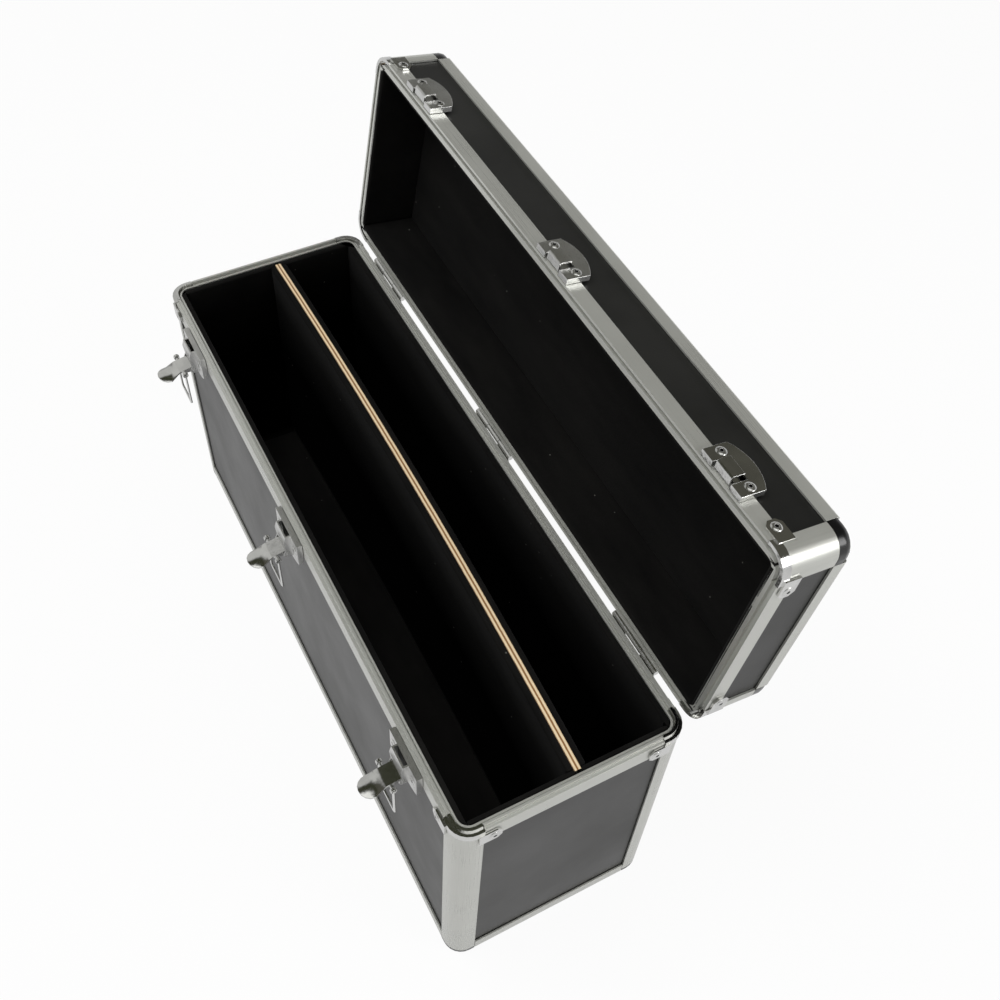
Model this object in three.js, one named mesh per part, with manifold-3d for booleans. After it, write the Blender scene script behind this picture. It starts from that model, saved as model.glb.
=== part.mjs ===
// Long aluminium-framed microphone case, lid open on its hinge stop. Millimetres, +Z up.
// X runs along the case, the latches face -Y, the hinges +Y. The origin is the middle of the
// bottom board's underside.
import * as THREE from 'three';
import Module from 'manifold-3d';
import { mergeVertices } from 'three/addons/utils/BufferGeometryUtils.js';

const wasm = await Module();
wasm.setup();

// Overall sizes
const caseLength = 530;
const caseWidth = 166;
const partingHeight = 223;
const lidHeight = 53.4;
const lidOpenAngle = 99.07;

// Clearances
const fitGap = 0.3;
const overrun = 2;

// Boards
const wallBoard = 3.2;
const bottomBoard = 4;
const topBoard = 3.2;

// Extrusions: the skin outside the boards, their inner legs and lips
const trimWall = 1.5;
const lipWall = 1.2;
const innerLegWall = 1.5;
const innerLegHeight = 12;
const cornerRadius = 14.3;
const postLeg = 18.5;
const cornerSteps = 3;

// Base rim, heights from the parting plane
const flangeHeight = 15;
const baseWebDrop = 0.9;
const rimWeb = 1.5;
const ribHeight = 2.3;
const ribOuter = 2.2;
const ribInner = 4.2;

// Lid rim, heights from the lid's open edge
const lidFlangeHeight = 12;
const grooveHeight = 2.9;
const lidLipInner = 8.4;

// Edge extrusions and corner caps
const edgeLeg = 11;
const edgeLip = 11;
const edgeRound = 2.5;
const footDrop = 0.5;
const footSkirt = 3;
const capRound = 5;
const roundSteps = 3;

// Rim corner castings and their riveted ears
const castingProud = 0.7;
const castingSkirt = 6.5;
const earThickness = 1.5;
const earReach = 30;
const earTop = 3.4;
const earHeight = 12;
const earChamfer = 3.2;
const earRivetReach = 24.6;

// Rivets with a dimpled head
const rivetRadius = 3.1;
const rivetHeight = 0.9;
const rivetHollow = 1.3;
const rivetSides = 8;

// Lining and divider
const liningWall = 3.8;
const floorPad = 8;
const liningTopDrop = 1;
const dividerBoard = 5.2;
const dividerPad = 4.2;
const dividerSole = 1.6;
const dividerReach = 3;
const dividerFarY = 8.4;
const dividerNearY = 5.2;
const dividerBow = 5;
const dividerSteps = 12;

// Places along the case, counted in from its ends: three latches with their keepers, and three hinges
const farFittingInset = 69;
const middleFitting = 3.5;
const nearFittingInset = 67;
const farHingeInset = 67;
const middleHinge = -9;
const nearHingeInset = 71;

// Hinges
const hingeOut = 2.7;
const hingeRise = 0.4;
const hingeWidth = 53;
const hingeLeaf = 1.2;
const hingeLeafLength = 20;
const hingeLeafStart = 3;
const knuckleRadius = 2.2;
const lidKnuckle = 18;
const hingePin = 1;
const hingeRivetReach = 18;
const hingeRivetDrop = 12;

// Latch plates and keepers, both raised D-shaped pressings
const plateWidth = 39.4;
const keeperSide = 18;
const latchSide = 21;
const plateArc = 6;
const plateRise = 4.6;
const plateThickness = 1.2;
const plateSeat = 0.4;
const plateSteps = 4;
const plateRivetX = 14.4;
const plateRivetRise = 10;

// Keeper hook, a strip folded back over a pocket in the pressing
const hookWidth = 14.6;
const hookStand = 8;
const hookWall = 1.2;
const hookFloor = 2;
const hookTop = 10.4;
const hookBend = 1.6;
const hookInnerBend = 0.4;
const hookTail = 0.1;
const pocketWidth = 18.6;
const pocketTop = 12;

// Latch hood, which covers the lever's root between two side walls
const hoodWidth = 17;
const hoodWall = 1.2;
const hoodMouth = 8.6;
const hoodStand = 10.2;
const hoodKnee = 5.5;
const hoodFront = 9.4;
const hoodDrop = 14.6;
const hoodFoot = 3.4;

// Latch lever
const leverPivotOut = 8;
const leverPivotDrop = 19.5;
const leverCrank = 8.5;
const leverPin = 1.25;
const leverPinProud = 0.5;
const leverBarrel = 2.6;
const leverRootWidth = 14;
const leverFlat = 11;
const leverFlatFall = 1.8;
const leverSpoonStart = 19;
const leverSpoonFall = 5.2;
const leverTongueWidth = 16.6;
const leverLength = 28;
const leverTipFall = 5.6;
const leverSheet = 1.3;
const leverCheekDepth = 2.2;
const pinSides = 14;

// Claw, the bail that hooks over the keeper
const clawPin = 1.2;
const clawWidth = 24.4;
const clawStrip = 2.5;
const clawSheet = 1.4;
const clawBar = 3.4;
const clawEye = 2.3;
const clawCorner = 2.6;

// Folding handle on the lid top
const handlePlateLength = 128;
const handlePlateWidth = 26;
const handlePlateWall = 1.5;
const handlePlateCorner = 5;
const handlePivotRise = 9.3;
const handleEar = 2;
const handleEarRadius = 5;
const handlePin = 2;
const handlePinReach = 8;
const gripReach = 34;
const gripBar = 15;
const gripArm = 13;
const gripThickness = 11;
const gripRound = 3;
const gripCorner = 14;
const gripHeel = 5;
const handleEarInset = 6.7;
const handleRivetInset = 18;

const gripLength = handlePlateLength - 2 * (handleEarInset + handleEar + fitGap);
const handleRivetX = handlePlateLength / 2 - handleRivetInset;
const lidEdge = partingHeight + fitGap;
const boardOuter = trimWall + fitGap;
const boardInner = boardOuter + wallBoard;
const legOuter = boardInner + fitGap;
const legInner = legOuter + innerLegWall;
const liningOuter = legInner + fitGap;
const liningInner = liningOuter + liningWall;
const coreEnd = cornerRadius - fitGap;
const undersideLip = -fitGap - lipWall;
const footLow = undersideLip - footDrop;
const footTop = footLow + footSkirt;
const floorLevel = bottomBoard + fitGap + floorPad;
const lidCeiling = lidHeight - lipWall - fitGap - topBoard - fitGap;
const cornerPlaces = [
  ['near_back', 1, 1, 0],
  ['far_back', -1, 1, 90],
  ['far_front', -1, -1, 180],
  ['near_front', 1, -1, 270],
];
const fittingPlaces = [
  ['far', farFittingInset - caseLength / 2, farHingeInset - caseLength / 2],
  ['middle', middleFitting, middleHinge],
  ['near', caseLength / 2 - nearFittingInset, caseLength / 2 - nearHingeInset],
];

// Turns a three.js geometry into a manifold solid.
function solid(geometry) {
  const bare = geometry.clone();
  bare.deleteAttribute('normal');
  bare.deleteAttribute('uv');
  const welded = mergeVertices(bare);
  return new wasm.Manifold(new wasm.Mesh({
    numProp: 3,
    vertProperties: new Float32Array(welded.attributes.position.array),
    triVerts: new Uint32Array(welded.index.array),
  }));
}

// Turns a manifold solid back into a three.js geometry.
function skin(manifold) {
  const mesh = manifold.getMesh();
  const geometry = new THREE.BufferGeometry();
  geometry.setAttribute('position', new THREE.BufferAttribute(new Float32Array(mesh.vertProperties), 3));
  geometry.setIndex(new THREE.BufferAttribute(new Uint32Array(mesh.triVerts), 1));
  geometry.computeVertexNormals();
  return geometry;
}

// Adds solids together.
function join(first, ...rest) {
  return rest.reduce((whole, piece) => whole.add(piece), first);
}

// Cuts solids away from the first one.
function cut(first, ...rest) {
  return rest.reduce((whole, piece) => whole.subtract(piece), first);
}

// A rectangular block between two corners.
function block(x0, x1, y0, y1, z0, z1) {
  const box = new THREE.BoxGeometry(x1 - x0, y1 - y0, z1 - z0);
  box.translate((x0 + x1) / 2, (y0 + y1) / 2, (z0 + z1) / 2);
  return solid(box);
}

// A flat outline in X and Y, raised from z0 to z1.
function raise(shape, z0, z1, curveSegments = cornerSteps) {
  const geometry = new THREE.ExtrudeGeometry(shape, { depth: z1 - z0, bevelEnabled: false, curveSegments });
  geometry.translate(0, 0, z0);
  return solid(geometry);
}

// A flat outline in X and Z, pushed out towards -Y from out0 to out1.
function press(shape, out0, out1, curveSegments = plateSteps) {
  const geometry = new THREE.ExtrudeGeometry(shape, { depth: out1 - out0, bevelEnabled: false, curveSegments });
  geometry.translate(0, 0, out0);
  geometry.rotateX(Math.PI / 2);
  return solid(geometry);
}

// A side outline in Y and Z, drawn along X from x0 to x1.
function draw(shape, x0, x1, curveSegments = plateSteps) {
  const geometry = new THREE.ExtrudeGeometry(shape, { depth: x1 - x0, bevelEnabled: false, curveSegments });
  geometry.translate(0, 0, x0);
  geometry.applyMatrix4(new THREE.Matrix4().makeBasis(
    new THREE.Vector3(0, 1, 0),
    new THREE.Vector3(0, 0, 1),
    new THREE.Vector3(1, 0, 0),
  ));
  return solid(geometry);
}

// A round bar along X.
function barAlongX(radius, x0, x1, y, z, sides = pinSides) {
  const geometry = new THREE.CylinderGeometry(radius, radius, x1 - x0, sides);
  geometry.rotateZ(Math.PI / 2);
  geometry.translate((x0 + x1) / 2, y, z);
  return solid(geometry);
}

// An outline through the given points.
function outline(points) {
  const shape = new THREE.Shape();
  points.forEach(([x, y], i) => (i ? shape.lineTo(x, y) : shape.moveTo(x, y)));
  shape.closePath();
  return shape;
}

// A rectangle with round corners, centred on the origin.
function roundedRectangle(halfX, halfY, radius) {
  const shape = new THREE.Shape();
  shape.moveTo(halfX - radius, -halfY);
  shape.absarc(halfX - radius, -halfY + radius, radius, -Math.PI / 2, 0, false);
  shape.absarc(halfX - radius, halfY - radius, radius, 0, Math.PI / 2, false);
  shape.absarc(-halfX + radius, halfY - radius, radius, Math.PI / 2, Math.PI, false);
  shape.absarc(-halfX + radius, -halfY + radius, radius, Math.PI, Math.PI * 1.5, false);
  return shape;
}

// The case's plan outline, drawn in by a depth from its outer faces.
function planOutline(depth) {
  return roundedRectangle(caseLength / 2 - depth, caseWidth / 2 - depth, cornerRadius - depth);
}

// A ring that follows the case's outline between two depths.
function ring(outerDepth, innerDepth, z0, z1) {
  const shape = planOutline(outerDepth);
  shape.holes.push(planOutline(innerDepth));
  return raise(shape, z0, z1);
}

// The case's whole plan with its edge rounded at the top of the given height.
function roundedEnvelope(z0, z1, rounding) {
  const depth = z1 - z0 + rounding;
  const geometry = new THREE.ExtrudeGeometry(planOutline(0), {
    depth,
    bevelEnabled: true,
    bevelThickness: rounding,
    bevelSize: rounding,
    bevelOffset: -rounding,
    bevelSegments: roundSteps,
    curveSegments: cornerSteps,
  });
  geometry.translate(0, 0, z1 - rounding - depth);
  return solid(geometry);
}

// A square prism over one corner of the plan, reaching inwards by the given length.
function cornerPrism(signX, signY, reach, z0, z1) {
  const edgeX = signX * (caseLength / 2 + overrun);
  const edgeY = signY * (caseWidth / 2 + overrun);
  const innerX = signX * (caseLength / 2 - reach);
  const innerY = signY * (caseWidth / 2 - reach);
  return block(
    Math.min(edgeX, innerX), Math.max(edgeX, innerX),
    Math.min(edgeY, innerY), Math.max(edgeY, innerY), z0, z1,
  );
}

// The space at one corner that a post, cap or casting takes outside the inner leg.
function cornerNotch(signX, signY, z0, z1) {
  return cornerPrism(signX, signY, postLeg + fitGap, z0, z1).subtract(raise(planOutline(boardInner), z0, z1));
}

// Cuts all four corner notches from a frame, so that only its inner leg runs round.
function notchCorners(frame, z0, z1) {
  return cornerPlaces.reduce((rest, [, signX, signY]) => rest.subtract(cornerNotch(signX, signY, z0, z1)), frame);
}

// Cuts the square corners from a frame's lip.
function openLipCorners(frame, z0, z1) {
  return cornerPlaces.reduce(
    (rest, [, signX, signY]) => rest.subtract(cornerPrism(signX, signY, postLeg + fitGap, z0, z1)), frame,
  );
}

// A rivet head with a dimple, its foot at the origin and its head towards +Z.
function rivetHead() {
  const profile = [
    [0, -rivetHeight], [rivetRadius, -rivetHeight], [rivetRadius, 0],
    [(rivetRadius + rivetHollow) / 2, rivetHeight], [rivetHollow, rivetHeight], [0, 0],
  ].map(([radius, height]) => new THREE.Vector2(radius, height));
  const geometry = new THREE.LatheGeometry(profile, rivetSides);
  geometry.rotateX(Math.PI / 2);
  return geometry;
}

// A rivet on a face that looks towards -Y.
function rivetOut(x, out, z) {
  const geometry = rivetHead();
  geometry.rotateX(Math.PI / 2);
  geometry.translate(x, -out, z);
  return solid(geometry);
}

// The corner post: a rounded skin with two legs and, in the base, the core that parts the boards.
function postShape(withCore) {
  const shape = new THREE.Shape();
  shape.moveTo(-postLeg, 0);
  shape.lineTo(-postLeg, -trimWall);
  if (withCore) {
    shape.lineTo(-coreEnd, -trimWall);
    shape.lineTo(-coreEnd, -boardInner);
    shape.lineTo(-boardInner, -boardInner);
    shape.lineTo(-boardInner, -coreEnd);
    shape.lineTo(-trimWall, -coreEnd);
  } else {
    shape.lineTo(-cornerRadius, -trimWall);
    shape.absarc(-cornerRadius, -cornerRadius, cornerRadius - trimWall, Math.PI / 2, 0, true);
  }
  shape.lineTo(-trimWall, -postLeg);
  shape.lineTo(0, -postLeg);
  shape.lineTo(0, -cornerRadius);
  shape.absarc(-cornerRadius, -cornerRadius, cornerRadius, 0, Math.PI / 2, false);
  return shape;
}

// Moves a solid made at the near back corner to that corner's own origin.
function toCorner(piece) {
  return piece.translate([-caseLength / 2, -caseWidth / 2, 0]);
}

// One riveted ear of a rim casting, lying on the back face, its tip away from the corner.
function castingEar(z0, z1, rivetLevel) {
  const face = caseWidth / 2 + fitGap;
  const tip = caseLength / 2 - earReach;
  const root = caseLength / 2 - cornerRadius;
  const shape = outline([
    [root, z0], [root, z1], [tip + earChamfer, z1], [tip, z1 - earChamfer],
    [tip, z0 + earChamfer], [tip + earChamfer, z0],
  ]);
  const plate = press(shape, -face - earThickness, -face);
  const head = rivetHead();
  head.rotateX(-Math.PI / 2);
  head.translate(caseLength / 2 - earRivetReach, face + earThickness, rivetLevel);
  return plate.add(solid(head));
}

// The same ear turned over the corner's diagonal, onto the end face.
function mirroredEar(ear) {
  return ear.translate([-caseLength / 2, -caseWidth / 2, 0])
    .mirror([1, -1, 0])
    .translate([caseLength / 2, caseWidth / 2, 0]);
}

// A rim casting at the near back corner: the rim's own tiers made proud of it, and two ears.
function rimCasting(tiers, cores, earLow) {
  const low = -overrun;
  const high = partingHeight + ribHeight + overrun;
  const sector = cornerPrism(1, 1, postLeg, low, high);
  const coreSector = cornerPrism(1, 1, coreEnd, low, high);
  const ear = castingEar(earLow, earLow + earHeight, earLow + earHeight / 2);
  return toCorner(join(
    ear,
    mirroredEar(ear),
    ...tiers.map(([outer, inner, z0, z1]) => ring(outer, inner, z0, z1).intersect(sector)),
    ...cores.map(([outer, inner, z0, z1]) => ring(outer, inner, z0, z1).intersect(coreSector)),
  ));
}

// Base rim: flange, web, shoulder, rib and inner leg, with its corners left to the castings.
function baseRim() {
  const top = partingHeight;
  const webTop = top - baseWebDrop;
  const frame = join(
    ring(0, trimWall, top - flangeHeight, top),
    ring(0, legInner, webTop - rimWeb, webTop),
    ring(0, ribInner, webTop - rimWeb, top),
    ring(ribOuter, ribInner, top - rimWeb, top + ribHeight),
    ring(legOuter, legInner, top - innerLegHeight, top),
  );
  return notchCorners(frame, top - flangeHeight - overrun, top + ribHeight + overrun);
}

// Base rim casting: shoulder and rib run on through the corner, over a core behind the skirt.
function baseCasting() {
  const top = partingHeight;
  const webTop = top - baseWebDrop;
  const tiers = [
    [-castingProud, trimWall, top - castingSkirt, webTop],
    [-castingProud, boardInner - fitGap, webTop - rimWeb, webTop],
    [-castingProud, ribInner, webTop - rimWeb, top],
    [ribOuter, ribInner, top - rimWeb, top + ribHeight],
  ];
  return rimCasting(tiers, [[trimWall, boardInner - fitGap, top - castingSkirt, webTop]], top - earTop - earHeight);
}

// Lid rim: flange, groove for the base rib, web and inner leg.
function lidRim() {
  const frame = join(
    ring(0, trimWall, 0, lidFlangeHeight),
    ring(0, ribOuter - fitGap, 0, grooveHeight + rimWeb),
    ring(0, lidLipInner, grooveHeight, grooveHeight + rimWeb),
    ring(ribInner + fitGap, lidLipInner, 0, grooveHeight + rimWeb),
    ring(legOuter, legInner, grooveHeight, innerLegHeight),
  );
  return notchCorners(frame, -overrun, innerLegHeight + overrun);
}

// Lid rim casting: a skirt under the groove, which runs on through the corner.
function lidCasting() {
  const tiers = [
    [-castingProud, trimWall, grooveHeight, castingSkirt],
    [-castingProud, ribOuter - fitGap, 0, grooveHeight + rimWeb],
    [-castingProud, boardInner - fitGap, grooveHeight, grooveHeight + rimWeb],
  ];
  return rimCasting(tiers, [], earTop);
}

// Bottom edge extrusion: outer leg, lip under the bottom board, web and inner leg.
function baseEdge() {
  const webLow = bottomBoard + fitGap;
  const outerTop = undersideLip + edgeLeg;
  const frame = join(
    ring(0, trimWall, undersideLip, outerTop),
    ring(0, edgeLip, undersideLip, undersideLip + lipWall),
    ring(0, legInner, webLow, webLow + lipWall),
    ring(legOuter, legInner, webLow, innerLegHeight),
  );
  const notched = notchCorners(frame, undersideLip - overrun, innerLegHeight + overrun);
  return openLipCorners(notched, undersideLip - overrun, undersideLip + lipWall + fitGap);
}

// Lid edge extrusion: the same section upside down, its outer edge rounded.
function lidEdgeFrame() {
  const webHigh = lidHeight - lipWall - fitGap - topBoard - fitGap;
  const frame = join(
    ring(0, trimWall, lidHeight - edgeLeg, lidHeight),
    ring(0, edgeLip, lidHeight - lipWall, lidHeight),
    ring(0, legInner, webHigh - lipWall, webHigh),
    ring(legOuter, legInner, lidHeight - innerLegHeight, webHigh),
  );
  const rounded = frame.intersect(roundedEnvelope(lidHeight - innerLegHeight, lidHeight, edgeRound));
  const notched = notchCorners(rounded, lidHeight - innerLegHeight - overrun, lidHeight + overrun);
  return openLipCorners(notched, lidHeight - lipWall - fitGap, lidHeight + overrun);
}

// Black foot cap under a base post: a plate with a low skirt.
function footCap() {
  const sector = cornerPrism(1, 1, postLeg, footLow, footTop);
  const coreSector = cornerPrism(1, 1, coreEnd, footLow, footTop);
  const plate = raise(planOutline(0), footLow, undersideLip + lipWall).intersect(sector);
  const skirt = ring(0, trimWall, undersideLip, footTop).intersect(sector);
  const core = ring(trimWall, boardInner - fitGap, undersideLip, footTop).intersect(coreSector);
  return toCorner(join(plate, skirt, core));
}

// Glossy black cap on a lid corner: a rounded plate with a deep skirt round the band.
function lidCap() {
  const low = lidHeight - edgeLeg;
  const sector = cornerPrism(1, 1, postLeg, low, lidHeight + overrun);
  const coreSector = cornerPrism(1, 1, coreEnd, low, lidHeight + overrun);
  const envelope = roundedEnvelope(low, lidHeight, capRound);
  const plate = raise(planOutline(0), lidHeight - lipWall, lidHeight).intersect(sector);
  const skirt = ring(0, trimWall, low, lidHeight).intersect(sector);
  const core = ring(trimWall, boardInner - fitGap, lidCeiling + fitGap, lidHeight).intersect(coreSector);
  return toCorner(join(plate, skirt, core).intersect(envelope));
}

// The soft lining as a tray: close behind the boards, stepped round the inner legs.
function liningTray(legLow, legHigh, low, high, cavityLow, cavityHigh) {
  const boardX = caseLength / 2 - legOuter;
  const boardY = caseWidth / 2 - legOuter;
  const cornerX = caseLength / 2 - cornerRadius;
  const cornerY = caseWidth / 2 - cornerRadius;
  const cavityX = caseLength / 2 - liningInner;
  const cavityY = caseWidth / 2 - liningInner;
  const tray = join(
    raise(planOutline(liningOuter), low, high),
    block(-boardX, boardX, -cornerY, cornerY, legLow, legHigh),
    block(-cornerX, cornerX, -boardY, boardY, legLow, legHigh),
  );
  return tray.subtract(block(-cavityX, cavityX, -cavityY, cavityY, cavityLow, cavityHigh));
}

// Across-position of the divider at a place along the case: a straight skew and a shallow bow.
function dividerAcross(x) {
  const share = x / (caseLength / 2);
  const middle = (dividerNearY + dividerFarY) / 2;
  const lean = (dividerNearY - dividerFarY) / 2;
  return middle + lean * share + dividerBow * (1 - share * share);
}

// A bowed strip in plan, between two offsets from the divider's middle line.
function dividerStrip(halfLength, offset0, offset1) {
  const places = Array.from({ length: dividerSteps + 1 }, (_, i) => -halfLength + (2 * halfLength * i) / dividerSteps);
  const front = places.map((x) => [x, dividerAcross(x) + offset0]);
  const back = places.slice().reverse().map((x) => [x, dividerAcross(x) + offset1]);
  return outline([...front, ...back]);
}

// The D outline of a pressing in X and Z, drawn in by a depth: straight sides, arc at the far end.
function plateOutline(depth, direction, side) {
  const half = plateWidth / 2;
  const radius = (half * half + plateArc * plateArc) / (2 * plateArc);
  const centre = side + plateArc - radius;
  const sweep = Math.asin((half - depth) / (radius - depth));
  const points = [[depth - half, depth], [half - depth, depth]];
  for (let i = 0; i <= 2 * plateSteps; i += 1) {
    const turn = sweep * (1 - i / plateSteps);
    points.push([(radius - depth) * Math.sin(turn), centre + (radius - depth) * Math.cos(turn)]);
  }
  return outline(points.map(([x, z]) => [x, z * direction]));
}

// A raised pressing, hollow behind, with its two rivets; its square edge is at z = 0.
function pressing(direction, side) {
  const level = plateRivetRise * direction;
  return join(
    press(plateOutline(0, direction, side), fitGap, plateRise)
      .subtract(press(plateOutline(plateThickness, direction, side), -overrun, plateRise - plateThickness)),
    rivetOut(plateRivetX, plateRise, level),
    rivetOut(-plateRivetX, plateRise, level),
  );
}

// Latch plate: pressing, hood with its side walls, and the lever's fixed pin.
function latchPlate() {
  const pivotZ = plateSeat - leverPivotDrop;
  const root = plateRise - plateThickness / 2;
  const half = hoodWidth / 2;
  const wall = new THREE.Shape();
  wall.moveTo(-root, 0);
  wall.lineTo(-hoodMouth, 0);
  wall.lineTo(-hoodStand, -hoodKnee);
  wall.lineTo(-hoodFront, -hoodDrop);
  wall.lineTo(-leverPivotOut - hoodFoot, pivotZ);
  wall.absarc(-leverPivotOut, pivotZ, hoodFoot, Math.PI, Math.PI * 1.5, false);
  wall.lineTo(-root, pivotZ - hoodFoot);
  const hood = outline([
    [-hoodMouth, 0], [-hoodStand, -hoodKnee], [-hoodFront, -hoodDrop],
    [-hoodFront + hoodWall, -hoodDrop], [-hoodStand + hoodWall, -hoodKnee], [-hoodMouth + hoodWall, 0],
  ]);
  return join(
    pressing(-1, latchSide),
    draw(wall, half - hoodWall, half),
    draw(wall, -half, -half + hoodWall),
    draw(hood, -half, half),
    barAlongX(leverPin, -half - leverPinProud, half + leverPinProud, -leverPivotOut, pivotZ),
  );
}

// Keeper on the lid: a pressing with a pocket, and a strip that folds back over it as a hook.
function keeper() {
  const inner = hookStand - hookWall;
  const back = fitGap + hookWall;
  const strip = keeperSide + plateArc - plateThickness + hookTail;
  const low = hookFloor - hookWall;
  const hook = outline([
    [-fitGap, strip], [-fitGap, hookFloor], [-back, low], [-inner, low], [-hookStand, low + hookBend],
    [-hookStand, hookTop], [-inner, hookTop], [-inner, hookFloor + hookInnerBend],
    [-inner + hookInnerBend, hookFloor], [-back - hookWall, hookFloor], [-back, hookFloor + hookWall], [-back, strip],
  ]);
  const pocket = block(
    -pocketWidth / 2, pocketWidth / 2, -plateRise - overrun, overrun, -overrun, pocketTop,
  );
  return pressing(1, keeperSide).subtract(pocket).add(draw(hook, -hookWidth / 2, hookWidth / 2));
}

// Lever about its pin, reaching out towards -Y: rolled root, cheeks, and a tongue that dips and widens.
function lever() {
  const top = leverBarrel;
  const low = leverBarrel - leverSheet;
  const flatEnd = -leverFlat;
  const spoon = -leverSpoonStart;
  const side = outline([
    [0, top], [0, low], [flatEnd, low - leverFlatFall], [spoon, low - leverSpoonFall],
    [-leverLength, low - leverTipFall], [-leverLength, top - leverTipFall],
    [spoon, top - leverSpoonFall], [flatEnd, top - leverFlatFall],
  ]);
  const root = leverRootWidth / 2;
  const tongue = leverTongueWidth / 2;
  const plan = new THREE.Shape();
  plan.moveTo(-root, leverBarrel);
  plan.lineTo(-root, flatEnd);
  plan.lineTo(-tongue, spoon);
  plan.lineTo(-tongue, -leverLength + tongue);
  plan.absarc(0, -leverLength + tongue, tongue, Math.PI, Math.PI * 2, false);
  plan.lineTo(tongue, spoon);
  plan.lineTo(root, flatEnd);
  plan.lineTo(root, leverBarrel);
  const tongueSheet = draw(side, -tongue, tongue).intersect(raise(plan, -leverLength, leverLength, plateSteps));
  const cheek = outline([
    [0, top], [0, -leverCheekDepth], [-leverCrank, -leverCheekDepth], [flatEnd, low - leverFlatFall],
    [flatEnd, top - leverFlatFall],
  ]);
  const whole = join(
    tongueSheet,
    draw(cheek, root - leverSheet, root),
    draw(cheek, -root, -root + leverSheet),
    barAlongX(leverBarrel, -root, root, 0, 0),
    barAlongX(clawPin, -clawWidth / 2 - leverPinProud, clawWidth / 2 + leverPinProud, -leverCrank, 0),
  );
  return whole.subtract(barAlongX(leverPin + fitGap, -root - overrun, root + overrun, 0, 0));
}

// Where the closed claw's bar lies between pressing and hook, and so the claw's length and swing.
function clawReach() {
  const barOut = plateRise + fitGap + clawSheet / 2;
  const barRise = fitGap + plateSeat + hookFloor + fitGap + clawBar / 2;
  const run = leverPivotOut - barOut;
  const rise = barRise + leverPivotDrop + leverCrank;
  return { length: Math.hypot(run, rise), lean: THREE.MathUtils.radToDeg(Math.atan2(run, rise)) };
}

// Claw about its pin, hanging straight down: two eyes, two strips and the bar that hooks.
function claw() {
  const half = clawWidth / 2;
  const inner = half - clawStrip;
  const barLow = -clawReach().length - clawBar / 2;
  const frame = outline([
    [-half, 0], [-half, barLow + clawCorner], [-half + clawCorner, barLow], [half - clawCorner, barLow],
    [half, barLow + clawCorner], [half, 0], [inner, 0], [inner, barLow + clawBar],
    [-inner, barLow + clawBar], [-inner, 0],
  ]);
  const eyes = join(
    barAlongX(clawEye, inner, half, 0, 0),
    barAlongX(clawEye, -half, -inner, 0, 0),
  );
  return press(frame, -clawSheet / 2, clawSheet / 2)
    .add(eyes)
    .subtract(barAlongX(clawPin + fitGap, -half - overrun, half + overrun, 0, 0));
}

// A hinge leaf on the back face, hanging down from its knuckles or, turned over, standing up.
function hingeLeafPlate(direction) {
  const face = caseWidth / 2 + fitGap;
  const half = hingeWidth / 2;
  const start = hingeLeafStart * direction;
  const end = hingeLeafLength * direction;
  const level = hingeRivetDrop * direction;
  const plate = block(-half, half, face, face + hingeLeaf, Math.min(start, end), Math.max(start, end));
  const rivets = [-hingeRivetReach, hingeRivetReach].map((x) => {
    const head = rivetHead();
    head.rotateX(-Math.PI / 2);
    head.translate(x, face + hingeLeaf, level);
    return solid(head);
  });
  return join(plate, ...rivets);
}

// A stretch of leaf that rises from the plate into a knuckle.
function knuckleTab(x0, x1, direction, y, z) {
  const face = caseWidth / 2 + fitGap;
  const end = hingeLeafStart * direction + Math.sign(direction) * overrun;
  return join(
    block(x0, x1, face + fitGap, face + hingeLeaf, Math.min(z, end), Math.max(z, end)),
    barAlongX(knuckleRadius, x0, x1, y, z),
  );
}

// Base half of a hinge, with the pin; z = 0 at the parting plane.
function baseHinge() {
  const y = caseWidth / 2 + hingeOut;
  const half = hingeWidth / 2;
  const inner = lidKnuckle / 2;
  return join(
    hingeLeafPlate(-1),
    knuckleTab(inner, half, -1, y, hingeRise),
    knuckleTab(-half, -inner, -1, y, hingeRise),
    barAlongX(hingePin, -half, half, y, hingeRise),
  );
}

// Lid half of a hinge, its middle knuckle bored for the pin; z = 0 at the parting plane.
function lidHinge() {
  const y = caseWidth / 2 + hingeOut;
  const inner = lidKnuckle / 2 - fitGap;
  const half = hingeWidth / 2;
  return join(hingeLeafPlate(1), knuckleTab(-inner, inner, 1, y, hingeRise))
    .subtract(barAlongX(hingePin + fitGap, -half, half, y, hingeRise));
}

// Handle base plate with its ears and pins; z = 0 on the lid's top board.
function handlePlate() {
  const plan = roundedRectangle(handlePlateLength / 2, handlePlateWidth / 2, handlePlateCorner);
  const earInner = gripLength / 2 + fitGap;
  const ear = new THREE.Shape();
  ear.moveTo(-handleEarRadius, fitGap);
  ear.lineTo(handleEarRadius, fitGap);
  ear.lineTo(handleEarRadius, handlePivotRise);
  ear.absarc(0, handlePivotRise, handleEarRadius, 0, Math.PI, false);
  const rivets = [-handleRivetX, handleRivetX].map((x) => {
    const head = rivetHead();
    head.translate(x, 0, fitGap + handlePlateWall);
    return solid(head);
  });
  return join(
    raise(plan, fitGap, fitGap + handlePlateWall),
    draw(ear, earInner, earInner + handleEar),
    draw(ear, -earInner - handleEar, -earInner),
    barAlongX(handlePin, earInner - handlePinReach, earInner + handleEar, 0, handlePivotRise),
    barAlongX(handlePin, -earInner - handleEar, -earInner + handlePinReach, 0, handlePivotRise),
    ...rivets,
  );
}

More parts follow.
